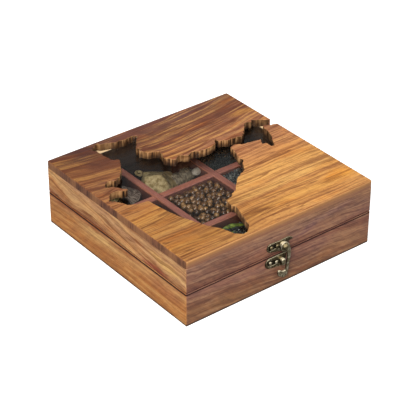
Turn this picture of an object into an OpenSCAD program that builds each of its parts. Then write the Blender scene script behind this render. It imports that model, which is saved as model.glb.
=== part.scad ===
// Wooden spice box with nine compartments and a hinged lid.
// A map outline is sawn through the lid's top board and a clear pane closes it from below.
// The origin is under the middle of the box, on the surface that it stands on. +X is the box's right,
// +Y its back (the hinge side) and +Z is up. Millimetres.

/* [Box] */
// Width of the box, left to right
box_w = 203; // [160:1:250]
// Depth of the box, front to back
box_d = 200; // [160:1:250]
// Height of the base
base_h = 32.6; // [28:0.1:60]
// Gap between the base's rim and the lid
seam = 0.6; // [0.3:0.1:1.5]
// Height of the lid's walls, under its top board
lid_wall_h = 24; // [18:0.5:40]
// Thickness of the lid's top board
top_t = 7.2; // [4:0.1:10]
// Thickness of the walls
wall_t = 10; // [8:0.5:14]
// Radius of the box's outer edges
edge_r = 1.2; // [0.5:0.1:2]
// Radius of the two edges that meet at the seam
rim_r = 0.8; // [0.3:0.1:1.2]

/* [Inside] */
// Thickness of the bottom board
bottom_t = 4; // [3:0.5:6]
// Width of the rebate that the bottom board lies in
rebate_w = 5; // [3:0.5:7]
// Thickness of a divider
divider_t = 7; // [4:0.5:9]
// Height of the dividers' raised middle above the base's rim
divider_rise = 1.8; // [0:0.1:4]
// Gap between a divider's raised middle and the lid's walls
divider_step = 1; // [0.5:0.1:3]
// Gap on each side of a halving joint
lap_gap = 0.1; // [0.05:0.05:0.3]

/* [Window] */
// Thickness of the clear pane
pane_t = 2; // [1.5:0.5:4]
// Gap between the pane and the lid's walls
pane_gap = 0.5; // [0.2:0.1:1]

/* [Hinges] */
// Distance from the box's side to the middle of a hinge
hinge_inset = 42; // [30:1:60]
// Length of a hinge
hinge_len = 30; // [20:1:40]
// Height of a leaf, from the pin's axis
leaf_h = 16; // [12:0.5:19]
// Thickness of a leaf
leaf_t = 1.2; // [0.8:0.1:1.6]
// Radius of a hinge's knuckles
knuckle_r = 2.2; // [2:0.1:2.6]
// Radius of a hinge pin
hinge_pin_r = 0.9; // [0.7:0.1:1.1]
// Gap between neighbouring knuckles
knuckle_gap = 0.15; // [0.1:0.05:0.3]
// Gap between the knuckles and the box's back
knuckle_back_gap = 0.3; // [0.2:0.1:0.6]

/* [Latch] */
// Distance from the box's left side to the hook's pivot
pivot_from_left = 101; // [80:0.5:125]
// Height of the hook's pivot above the seam's middle
pivot_above_seam = 6.8; // [6:0.1:9]
// Thickness of the latch's two plates
plate_t = 1.2; // [0.8:0.1:1.6]
// Height of the boss that the hook turns on
boss_h = 1.2; // [0.8:0.1:2]
// Thickness of the hook
hook_t = 1.6; // [1.2:0.1:2]
// Gap over and under the hook
hook_gap = 0.3; // [0.2:0.05:0.5]
// Radius of the rivet's shank
rivet_r = 1.6; // [1.2:0.1:2]
// Radius of the rivet's head
rivet_head_r = 3.1; // [2.6:0.1:3.6]
// How far the catch post stands out of its plate
post_h = 3.8; // [3.2:0.1:5]
// Half the width of the catch post
post_r = 2.35; // [2:0.05:2.6]

/* [Screws and pins] */
// Radius of a hinge screw's shank
screw_r = 0.8; // [0.6:0.1:1]
// Radius of a hinge screw's head
screw_head_r = 1.7; // [1.4:0.1:2]
// Length of a hinge screw's shank
screw_len = 8; // [5:0.5:9]
// Radius of a latch pin's shank
pin_r = 0.6; // [0.5:0.1:0.8]
// Radius of a latch pin's head
pin_head_r = 1.7; // [1.2:0.1:2]
// Length of a latch pin's shank
pin_len = 7; // [5:0.5:9]
// Gap round a shank in its hole, and round a pin in its knuckle
fit_gap = 0.05; // [0.02:0.01:0.1]

/* [Hidden] */
eps = 0.5;
lid_z = base_h + seam;
top_z = lid_z + lid_wall_h;
box_h = top_z + top_t;
seam_z = base_h + seam / 2;
divider_z = base_h + divider_rise;
divider_mid_z = (bottom_t + divider_z) / 2;
inner_w = box_w - 2 * wall_t;
inner_d = box_d - 2 * wall_t;
cell_w = (inner_w - 2 * divider_t) / 3;
cell_d = (inner_d - 2 * divider_t) / 3;
divider_x = cell_w / 2 + divider_t / 2;
divider_y = cell_d / 2 + divider_t / 2;

hinge_y = box_d / 2 + knuckle_r + knuckle_back_gap;
hinge_x = box_w / 2 - hinge_inset;
knuckles = 5;
knuckle_len = hinge_len / knuckles;
leaf_clear = 0.4;
leaf_lip = knuckle_r + leaf_clear;
pin_end_r = 0.75 * knuckle_r;
pin_end_h = 0.8;
step_drop = 0.2;
screw_head_h = 0.7;
screw_slot_w = 0.5;
leaf_screw_x = 10;
leaf_screw_low = 11.5;
leaf_screw_high = 6.5;

front_y = -box_d / 2;
pivot_x = pivot_from_left - box_w / 2;
pivot_z = seam_z + pivot_above_seam;
boss_r = 3.8;
hook_back = plate_t + boss_h + hook_gap;
rivet_head_h = 1.9;
pin_head_h = 0.9;

// Places of the latch's pins, measured from the hook's pivot.
lid_pins = [[-12.5, 1.9], [-6, 1.4]];
base_pins = [[-13.2, -13.3], [-6.4, -14.5]];
lid_lobe_r = 4.2;
base_lobe_r = 5;
plate_eye_r = 4.9;
hook_eye_r = 4.4;
// The catch post's middle line and the ends of its rounded outline, from the pivot.
post_x = -1;
post_top = -13.9;
post_bottom = -16;

// The map outline on a board of map_w by map_d, from its front left corner, anticlockwise
// from the southern tip: east coast, the broken-out north-east, the northern crown, west coast.
map_w = 203;
map_d = 200;
MAP = [
    [62, 4], [67, 4.5], [71, 8], [75, 12], [76, 17], [78, 21], [80, 28], [82, 34], [84, 40],
    [82, 44], [84, 53], [92, 55], [94, 58], [100, 60], [104, 65], [110, 71], [116, 76],
    [120, 78], [128, 82], [130, 86], [134, 92], [137, 95], [136, 101], [139, 106], [141, 112],
    [142, 119], [148, 120], [155, 116], [172, 113], [168, 106], [172, 105], [172, 98],
    [175, 97], [178, 103], [180, 107], [184, 112], [187, 122], [188, 127], [190, 131],
    [196, 127], [206, 125], [206, 135.5], [199, 137], [193, 142], [188, 146], [186, 143],
    [180, 145], [172, 137], [168, 132], [162, 128], [158, 130], [150, 130], [141, 134],
    [140, 138], [136, 133], [128, 130], [120, 130], [110, 134], [104, 131], [98, 136],
    [90, 132], [84, 140], [88, 152], [83, 155], [79, 156], [74, 164], [80, 166], [74, 168],
    [80, 176], [88, 186], [85, 189], [78, 188], [68, 189], [60, 192], [50, 197], [47, 194],
    [40, 191], [44, 186], [44, 176], [46, 166], [51, 162], [47, 154], [42, 147], [36, 140],
    [28, 136], [22, 139], [14, 132], [20, 129], [24, 123], [28, 118], [22, 118], [20, 121],
    [12, 121], [4, 112], [8, 109], [12, 102], [13, 98], [20, 94], [31, 92.5], [32, 84],
    [34, 70], [37, 57], [40, 49], [44, 38], [47, 31], [53, 22], [55, 16], [57, 9]
];

$fn = 48;

// Points along an arc about [cx, cy], from angle a0 to a1.
function arc(cx, cy, r, a0, a1, n = 5) =
    [for (i = [0 : n]) let (a = a0 + (a1 - a0) * i / n) [cx + r * cos(a), cy + r * sin(a)]];

// Section of a base wall: x is the distance inwards from its outer face, y is the height.
function base_section() = concat(
    arc(edge_r, edge_r, edge_r, 180, 270),
    [[wall_t - rebate_w, 0], [wall_t - rebate_w, bottom_t], [wall_t, bottom_t], [wall_t, base_h]],
    arc(rim_r, base_h - rim_r, rim_r, 90, 180)
);

// Section of a lid wall.
function lid_section() = concat(
    arc(rim_r, rim_r, rim_r, 180, 270),
    [[wall_t, 0], [wall_t, lid_wall_h], [0, lid_wall_h]]
);

// Section across the top board, with its upper edges rounded.
function board_section(width) = concat(
    [[0, 0], [width, 0]],
    arc(width - edge_r, top_t - edge_r, edge_r, 0, 90),
    arc(edge_r, top_t - edge_r, edge_r, 90, 180)
);

// Section of a divider, with softened upper edges.
divider_soft = 0.6;
function divider_section() = [
    [-divider_t / 2, bottom_t], [divider_t / 2, bottom_t],
    [divider_t / 2, divider_z - divider_soft], [divider_t / 2 - divider_soft, divider_z],
    [divider_soft - divider_t / 2, divider_z], [-divider_t / 2, divider_z - divider_soft]
];

// One board of a mitred frame, along +X from the origin, its outer face on y = 0.
module mitred_board(len, section, h) {
    plan = concat(
        arc(edge_r, edge_r, edge_r, 225, 270, 3),
        arc(len - edge_r, edge_r, edge_r, 270, 315, 3),
        [[len - wall_t, wall_t], [wall_t, wall_t]]
    );
    intersection() {
        rotate([90, 0, 90]) linear_extrude(len) polygon(section);
        linear_extrude(h) polygon(plan);
    }
}

// Puts a board that runs along +X on one side of the box.
module on_front_side() translate([-box_w / 2, -box_d / 2, 0]) children();
module on_back_side() translate([box_w / 2, box_d / 2, 0]) rotate([0, 0, 180]) children();
module on_left_side() translate([-box_w / 2, box_d / 2, 0]) rotate([0, 0, -90]) children();
module on_right_side() translate([box_w / 2, -box_d / 2, 0]) rotate([0, 0, 90]) children();

module base_board(len) mitred_board(len, base_section(), base_h);
module lid_board(len) translate([0, 0, lid_z]) mitred_board(len, lid_section(), lid_wall_h);

// Rounded-edge outline of the whole box, seen from above.
module box_plan() {
    polygon(concat(
        arc(edge_r - box_w / 2, edge_r - box_d / 2, edge_r, 180, 270),
        arc(box_w / 2 - edge_r, edge_r - box_d / 2, edge_r, 270, 360),
        arc(box_w / 2 - edge_r, box_d / 2 - edge_r, edge_r, 0, 90),
        arc(edge_r - box_w / 2, box_d / 2 - edge_r, edge_r, 90, 180)
    ));
}

// The base

module base_front_wall() color("peru") difference() {
    on_front_side() base_board(box_w);
    at_base_pins() latch_pin_hole();
}

module base_back_wall() color("peru") difference() {
    on_back_side() base_board(box_w);
    at_base_screws() screw_hole();
}

module base_left_wall() color("peru") on_left_side() base_board(box_d);

module base_right_wall() color("peru") on_right_side() base_board(box_d);

module base_bottom_panel() color("burlywood") {
    reach = 2 * (wall_t - rebate_w);
    translate([-(box_w - reach) / 2, -(box_d - reach) / 2, 0])
        cube([box_w - reach, box_d - reach, bottom_t]);
}

// A divider across the box, before its halving joints are cut.
module divider_strip(len) {
    difference() {
        translate([-len / 2, 0, 0]) rotate([90, 0, 90]) linear_extrude(len) polygon(divider_section());
        for (side = [-1, 1])
            translate([side * len / 2 - divider_step, -divider_t, base_h - step_drop])
                cube([2 * divider_step, 2 * divider_t, divider_rise + eps]);
    }
}

module lap_slot(at, z0, z1)
    translate([at - divider_t / 2 - lap_gap, -divider_t, z0])
        cube([divider_t + 2 * lap_gap, 2 * divider_t, z1 - z0]);

// Runs left to right; its slots are open at the top.
module cross_divider(y) color("rosybrown") translate([0, y, 0]) difference() {
    divider_strip(inner_w);
    for (x = [-divider_x, divider_x]) lap_slot(x, divider_mid_z, divider_z + eps);
}

// Runs front to back; its slots are open at the bottom.
module long_divider(x) color("rosybrown") translate([x, 0, 0]) rotate([0, 0, 90]) difference() {
    divider_strip(inner_d);
    for (y = [-divider_y, divider_y]) lap_slot(y, bottom_t - eps, divider_mid_z);
}

module divider_front() cross_divider(-divider_y);
module divider_back() cross_divider(divider_y);
module divider_left() long_divider(-divider_x);
module divider_right() long_divider(divider_x);

// The lid

module lid_front_wall() color("chocolate") difference() {
    on_front_side() lid_board(box_w);
    at_lid_pins() latch_pin_hole();
}

module lid_back_wall() color("chocolate") difference() {
    on_back_side() lid_board(box_w);
    at_lid_screws() screw_hole();
}

module lid_left_wall() color("chocolate") on_left_side() lid_board(box_d);

module lid_right_wall() color("chocolate") on_right_side() lid_board(box_d);

// The map outline, drawn for the board's real size and centred on it.
module map_outline() {
    polygon([for (p = MAP) [(p[0] / map_w - 0.5) * box_w, (p[1] / map_d - 0.5) * box_d]]);
}

module lid_top_panel() color("sandybrown") difference() {
    intersection() {
        translate([-box_w / 2, box_d / 2, top_z]) rotate([90, 0, 0])
            linear_extrude(box_d) polygon(board_section(box_w));
        translate([-box_w / 2, -box_d / 2, top_z]) rotate([90, 0, 90])
            linear_extrude(box_w) polygon(board_section(box_d));
        translate([0, 0, top_z]) linear_extrude(top_t) box_plan();
    }
    translate([0, 0, top_z - eps]) linear_extrude(top_t + 2 * eps) map_outline();
}

module window_pane() color([0.8, 0.85, 0.88, 0.35]) {
    pane_w = inner_w - 2 * pane_gap;
    pane_d = inner_d - 2 * pane_gap;
    translate([-pane_w / 2, -pane_d / 2, top_z - pane_t]) cube([pane_w, pane_d, pane_t]);
}

// The hinges

// A leaf that stands up from the pin's axis, which runs through the origin along X.
// It carries the knuckles whose numbers are in its list.
module hinge_leaf(own) {
    back = -knuckle_r - knuckle_back_gap;
    difference() {
        union() {
            translate([-hinge_len / 2, back, leaf_lip]) cube([hinge_len, leaf_t, leaf_h - leaf_lip]);
            for (k = own) translate([-hinge_len / 2 + k * knuckle_len + knuckle_gap / 2, 0, 0]) {
                rotate([0, 90, 0]) cylinder(h = knuckle_len - knuckle_gap, r = knuckle_r);
                translate([0, knuckle_back_gap + back, 0])
                    cube([knuckle_len - knuckle_gap, leaf_t - knuckle_back_gap, leaf_lip + eps]);
            }
        }
        translate([-hinge_len, 0, 0]) rotate([0, 90, 0])
            cylinder(h = 2 * hinge_len, r = hinge_pin_r + fit_gap);
        for (p = leaf_screws()) translate([p[0], back + leaf_t, p[1]]) screw_hole();
    }
}

function leaf_screws() =
    [[-leaf_screw_x, leaf_screw_high], [0, leaf_screw_low], [leaf_screw_x, leaf_screw_high]];

module at_hinge(side) translate([side * hinge_x, hinge_y, seam_z]) children();

// The base's leaf hangs down from the axis, and the lid's leaf stands up.
module base_leaf(side) color("darkgoldenrod") at_hinge(side) mirror([0, 0, 1]) hinge_leaf([0, 2, 4]);
module lid_leaf(side) color("darkgoldenrod") at_hinge(side) hinge_leaf([1, 3]);

module hinge_pin(side) color("goldenrod") at_hinge(side) {
    shank = hinge_len - knuckle_gap;
    rotate([0, 90, 0]) {
        translate([0, 0, -shank / 2]) cylinder(h = shank, r = hinge_pin_r);
        translate([0, 0, shank / 2]) cylinder(h = pin_end_h, r = pin_end_r);
        translate([0, 0, -shank / 2 - pin_end_h]) cylinder(h = pin_end_h, r = pin_end_r);
    }
}

module left_hinge_base_leaf() base_leaf(-1);
module left_hinge_lid_leaf() lid_leaf(-1);
module left_hinge_pin() hinge_pin(-1);
module right_hinge_base_leaf() base_leaf(1);
module right_hinge_lid_leaf() lid_leaf(1);
module right_hinge_pin() hinge_pin(1);

// A domed head with a shank. The head stands on the origin's plane and looks along +Y.
module domed_fastener(head_r, head_h, shank_r, shank_len) {
    ball_r = (head_r * head_r + head_h * head_h) / (2 * head_h);
    a = acos((ball_r - head_h) / ball_r);
    rotate([-90, 0, 0]) {
        rotate_extrude() polygon(concat(
            [[0, 0], [head_r, 0]],
            arc(0, head_h - ball_r, ball_r, 90 - a, 90)
        ));
        translate([0, 0, -shank_len]) cylinder(h = shank_len, r = shank_r);
    }
}

module hinge_screw() difference() {
    domed_fastener(screw_head_r, screw_head_h, screw_r, screw_len);
    translate([-screw_head_r, screw_head_h / 3, -screw_slot_w / 2])
        cube([2 * screw_head_r, screw_head_h, screw_slot_w]);
}

module screw_hole() translate([0, eps, 0]) rotate([90, 0, 0])
    cylinder(h = screw_len + leaf_t + eps, r = screw_r + fit_gap);

module at_leaf_screws(up) {
    for (side = [-1, 1], p = leaf_screws())
        translate([side * hinge_x + p[0], box_d / 2 + leaf_t, seam_z + up * p[1]]) children();
}
module at_base_screws() at_leaf_screws(-1) children();
module at_lid_screws() at_leaf_screws(1) children();

module hinge_base_screws() color("gold") at_base_screws() hinge_screw();
module hinge_lid_screws() color("gold") at_lid_screws() hinge_screw();

// The latch, drawn from the pivot in x and z, and built outwards from the box's front.

module latch_layer(from, thick)
    translate([pivot_x, front_y - from, pivot_z]) rotate([90, 0, 0]) linear_extrude(thick) children();

module at_pins(places)
    for (p = places) translate([pivot_x + p[0], front_y - plate_t, pivot_z + p[1]])
        rotate([0, 0, 180]) children();
module at_lid_pins() at_pins(lid_pins) children();
module at_base_pins() at_pins(base_pins) children();

module latch_pin() domed_fastener(pin_head_r, pin_head_h, pin_r, pin_len);
module latch_pin_hole() translate([0, eps, 0]) rotate([90, 0, 0])
    cylinder(h = pin_len + eps, r = pin_r + fit_gap);

module latch_lid_pins() color("tan") at_lid_pins() latch_pin();
module latch_base_pins() color("tan") at_base_pins() latch_pin();

// A round lobe on the left, a straight band and a horn that runs to a point on the right.
module lid_plate_outline() polygon(concat(
    arc(lid_pins[0][0], lid_pins[0][1], lid_lobe_r, 95, 265, 16),
    arc(0, 0, plate_eye_r, 250, 340, 10),
    [[5.8, 0.6], [7.6, 2.2], [10.8, 2.8], [11.1, 3.5], [8.6, 5.2], [6.6, 5.9], [2, 5.8], [-4, 5.4]]
));

module latch_lid_plate() color("olive") difference() {
    union() {
        latch_layer(0, plate_t) lid_plate_outline();
        latch_layer(plate_t, boss_h) circle(r = boss_r);
    }
    at_lid_pins() latch_pin_hole();
}

// A round lobe on the left, and a wide right end that backs the catch post.
module base_plate_outline() polygon(concat(
    arc(base_pins[0][0], base_pins[0][1], base_lobe_r, 80, 250, 16),
    [[-9, -18.9], [-4, -19.7], [1, -20.4], [3.2, -19], [3.8, -15], [4.5, -11], [4.8, -8.5], [-4, -8.2]]
));

module latch_base_plate() color("olive") difference() {
    latch_layer(0, plate_t) base_plate_outline();
    at_base_pins() latch_pin_hole();
}

module latch_catch_post() color("darkkhaki") latch_layer(plate_t, post_h) {
    translate([post_x, post_top]) circle(r = post_r);
    translate([post_x, post_bottom]) circle(r = post_r);
    translate([post_x - post_r, post_bottom]) square([2 * post_r, post_top - post_bottom]);
}

// An arm that curves down round the right of the catch post, a bill that turns in below it,
// and a rounded thumb tail.
module hook_outline() polygon(concat(
    arc(0, 0, hook_eye_r, 35, 290, 24),
    [[2.9, -6], [3.4, -9], [3.5, -13.5], [3, -17], [2.5, -19.5], [2.1, -22], [1.5, -24.6],
    [-1.2, -24.8], [-3.2, -23.2], [-4.7, -22.4], [-6.2, -22.8], [-6.9, -24.7], [-6.4, -26.8],
    [-4.6, -28.8], [-2.2, -30.4], [0.2, -31], [2.4, -30.5], [3.7, -29.1], [4.3, -27.2],
    [4.7, -24.4], [5.1, -20], [5.9, -16], [6.6, -12.8], [7, -9.4], [6.8, -6], [6.3, -3.4],
    [5.6, -0.8], [4.8, 1.2]]
));

module latch_hook() color("darkkhaki") difference() {
    latch_layer(hook_back, hook_t) hook_outline();
    latch_layer(hook_back - eps, hook_t + 2 * eps) circle(r = rivet_r + fit_gap);
}

module latch_pivot_rivet() color("khaki") translate([pivot_x, front_y, pivot_z]) {
    shank = hook_gap + hook_t + hook_gap / 2;
    translate([0, -plate_t - boss_h - shank, 0]) rotate([0, 0, 180])
        domed_fastener(rivet_head_r, rivet_head_h, rivet_r, shank);
}

base_front_wall();
base_back_wall();
base_left_wall();
base_right_wall();
base_bottom_panel();
divider_front();
divider_back();
divider_left();
divider_right();
lid_front_wall();
lid_back_wall();
lid_left_wall();
lid_right_wall();
lid_top_panel();
window_pane();
left_hinge_base_leaf();
left_hinge_lid_leaf();
left_hinge_pin();
right_hinge_base_leaf();
right_hinge_lid_leaf();
right_hinge_pin();
hinge_base_screws();
hinge_lid_screws();
latch_lid_plate();
latch_pivot_rivet();
latch_hook();
latch_base_plate();
latch_catch_post();
latch_lid_pins();
latch_base_pins();
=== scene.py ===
"""Looks for a wooden spice box: sawn map window, nine compartments, antique brass latch and hinges."""

from __future__ import annotations

import logging
import math
import random
from dataclasses import dataclass, field
from enum import Enum
from typing import Any, Callable, Sequence

import bmesh
import bpy
from mathutils import Matrix, Quaternion, Vector, noise

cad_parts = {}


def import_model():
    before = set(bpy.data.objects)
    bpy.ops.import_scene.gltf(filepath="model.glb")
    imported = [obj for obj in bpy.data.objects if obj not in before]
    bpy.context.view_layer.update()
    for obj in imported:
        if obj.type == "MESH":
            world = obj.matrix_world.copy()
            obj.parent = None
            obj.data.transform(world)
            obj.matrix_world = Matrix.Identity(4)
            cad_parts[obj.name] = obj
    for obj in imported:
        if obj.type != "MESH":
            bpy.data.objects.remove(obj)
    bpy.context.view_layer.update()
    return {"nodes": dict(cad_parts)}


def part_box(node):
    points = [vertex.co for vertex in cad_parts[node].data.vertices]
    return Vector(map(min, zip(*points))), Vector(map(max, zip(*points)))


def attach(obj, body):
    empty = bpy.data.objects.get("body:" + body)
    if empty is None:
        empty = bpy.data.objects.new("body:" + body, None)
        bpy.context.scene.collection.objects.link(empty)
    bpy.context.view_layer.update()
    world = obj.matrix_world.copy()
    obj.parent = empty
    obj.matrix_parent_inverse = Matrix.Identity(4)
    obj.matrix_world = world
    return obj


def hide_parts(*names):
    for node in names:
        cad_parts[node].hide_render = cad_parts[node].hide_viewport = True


log = logging.getLogger("spice_box")

MM = 0.001


class Axis(Enum):
    """A direction of the box: X to its right, Y to its back, Z up."""

    X = 0
    Y = 1
    Z = 2


class Cell(Enum):
    """A compartment, as its column and row counted from the middle of the grid."""

    MIDDLE = (0, 0)
    MIDDLE_BACK = (0, 1)
    MIDDLE_FRONT = (0, -1)
    LEFT_BACK = (-1, 1)
    LEFT_MIDDLE = (-1, 0)
    RIGHT_MIDDLE = (1, 0)
    RIGHT_BACK = (1, 1)


def paint(code: str) -> tuple[float, float, float, float]:
    """Turns a tone written as six hex digits into the colour that shaders use.

    Args:
        code: Red, green and blue as they look on a screen, such as "C98F58".

    Returns:
        Linear red, green, blue and alpha.
    """
    parts = [int(code[i : i + 2], 16) / 255 for i in (0, 2, 4)]
    linear = [c / 12.92 if c <= 0.04045 else ((c + 0.055) / 1.055) ** 2.4 for c in parts]
    return (linear[0], linear[1], linear[2], 1.0)


# Node trees


class Graph:
    """Short calls that add nodes to a shader tree or a geometry tree."""

    def __init__(self, tree: bpy.types.NodeTree) -> None:
        """Takes the tree that the nodes go into.

        Args:
            tree: A material's node tree or a geometry node group.
        """
        self.tree = tree

    def node(self, kind: str, feeds: dict[Any, Any] | None = None, **settings: Any) -> bpy.types.Node:
        """Adds a node.

        Args:
            kind: The node's type name.
            feeds: What goes into its inputs, by their name or number: a socket or a plain value.
            **settings: The node's own properties.

        Returns:
            The new node.
        """
        made = self.tree.nodes.new(kind)
        for name, value in settings.items():
            setattr(made, name, value)
        for name, value in (feeds or {}).items():
            self.feed(made.inputs[name], value)
        return made

    def feed(self, socket: bpy.types.NodeSocket, value: Any) -> None:
        """Links a socket into another, or sets its plain value."""
        if isinstance(value, bpy.types.NodeSocket):
            self.tree.links.new(value, socket)
        elif value is not None:
            socket.default_value = value

    def math(self, operation: str, *values: Any) -> bpy.types.NodeSocket:
        """Works out one number from one to three others."""
        return self.node("ShaderNodeMath", dict(enumerate(values)), operation=operation).outputs[0]

    def add(self, a: Any, b: Any) -> bpy.types.NodeSocket:
        """Adds two numbers."""
        return self.math("ADD", a, b)

    def times(self, a: Any, b: Any) -> bpy.types.NodeSocket:
        """Multiplies two numbers."""
        return self.math("MULTIPLY", a, b)

    def join(self, x: Any, y: Any, z: Any) -> bpy.types.NodeSocket:
        """Makes a vector of three numbers."""
        return self.node("ShaderNodeCombineXYZ", {0: x, 1: y, 2: z}).outputs[0]

    def split(self, vector: Any) -> list[bpy.types.NodeSocket]:
        """Takes a vector apart into its three numbers."""
        return list(self.node("ShaderNodeSeparateXYZ", {0: vector}).outputs)

    def fade(self, value: Any, low: float, high: float, start: float = 0.0, end: float = 1.0) -> Any:
        """Runs smoothly from start to end while the value runs from low to high."""
        feeds = {"Value": value, "From Min": low, "From Max": high, "To Min": start, "To Max": end}
        return self.node("ShaderNodeMapRange", feeds, interpolation_type="SMOOTHSTEP").outputs[0]

    def clouds(self, vector: Any, detail: float = 2.0, rough: float = 0.5) -> bpy.types.NodeSocket:
        """Gives a cloudy number about 0.5 that changes over one unit of the vector."""
        feeds = {"Vector": vector, "Scale": 1.0, "Detail": detail, "Roughness": rough}
        return self.node("ShaderNodeTexNoise", feeds).outputs["Fac"]

    def ramp(self, value: Any, stops: Sequence[tuple[float, str]]) -> bpy.types.NodeSocket:
        """Turns a number into a tone.

        Args:
            value: The number, from 0 to 1.
            stops: Places from 0 to 1 in rising order, each with its tone.

        Returns:
            The colour socket.
        """
        made = self.node("ShaderNodeValToRGB", {0: value})
        elements = made.color_ramp.elements
        while len(elements) < len(stops):
            elements.new(1.0)
        for element, (place, tone) in zip(elements, stops):
            element.position = place
            element.color = paint(tone)
        return made.outputs[0]

    def mix(self, share: Any, a: Any, b: Any, blend: str = "MIX") -> bpy.types.NodeSocket:
        """Mixes two colours, given as sockets or tones.

        Args:
            share: How much of the second colour shows, from 0 to 1.
            a: The first colour.
            b: The second colour.
            blend: The mix node's blend type.

        Returns:
            The mixed colour.
        """
        made = self.node("ShaderNodeMix", {0: share}, data_type="RGBA", blend_type=blend)
        for number, colour in ((6, a), (7, b)):
            self.feed(made.inputs[number], paint(colour) if isinstance(colour, str) else colour)
        return made.outputs[2]

    def place_mm(self) -> list[bpy.types.NodeSocket]:
        """Gives the point being shaded, in millimetres of the box's own frame, as three numbers."""
        coords = self.node("ShaderNodeTexCoord").outputs["Object"]
        scaled = self.node("ShaderNodeVectorMath", {0: coords, "Scale": 1 / MM}, operation="SCALE")
        return self.split(scaled.outputs[0])

    def facing(self) -> list[bpy.types.NodeSocket]:
        """Gives the surface's own direction in the box's frame, as three numbers."""
        return self.split(self.node("ShaderNodeTexCoord").outputs["Normal"])

    def bump(self, height: Any, depth_mm: float) -> bpy.types.NodeSocket:
        """Turns a height from 0 to 1 into a bumpy normal of a depth in millimetres."""
        feeds = {"Height": height, "Distance": depth_mm * MM, "Strength": 1.0}
        return self.node("ShaderNodeBump", feeds).outputs[0]


def new_material(name: str) -> tuple[bpy.types.Material, Graph, bpy.types.Node]:
    """Starts a material with one glossy-and-matt shader.

    Args:
        name: The material's name.

    Returns:
        The material, its graph and its main shader node.
    """
    material = bpy.data.materials.new(name)
    material.use_nodes = True
    material.node_tree.nodes.clear()
    graph = Graph(material.node_tree)
    shader = graph.node("ShaderNodeBsdfPrincipled")
    graph.node("ShaderNodeOutputMaterial", {"Surface": shader.outputs[0]})
    return material, graph, shader


# Finishes


@dataclass(frozen=True)
class Patch:
    """A soft oval of another tone in a board, in millimetres along and across its grain."""

    along: float
    across: float
    reach_along: float
    reach_across: float
    tone: str
    strength: float
    lean: float = 0.0


@dataclass(frozen=True)
class Rim:
    """A dark line along a board's upper or lower edge, full at one height and gone at another."""

    full: float
    gone: float
    tone: str
    strength: float


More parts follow.
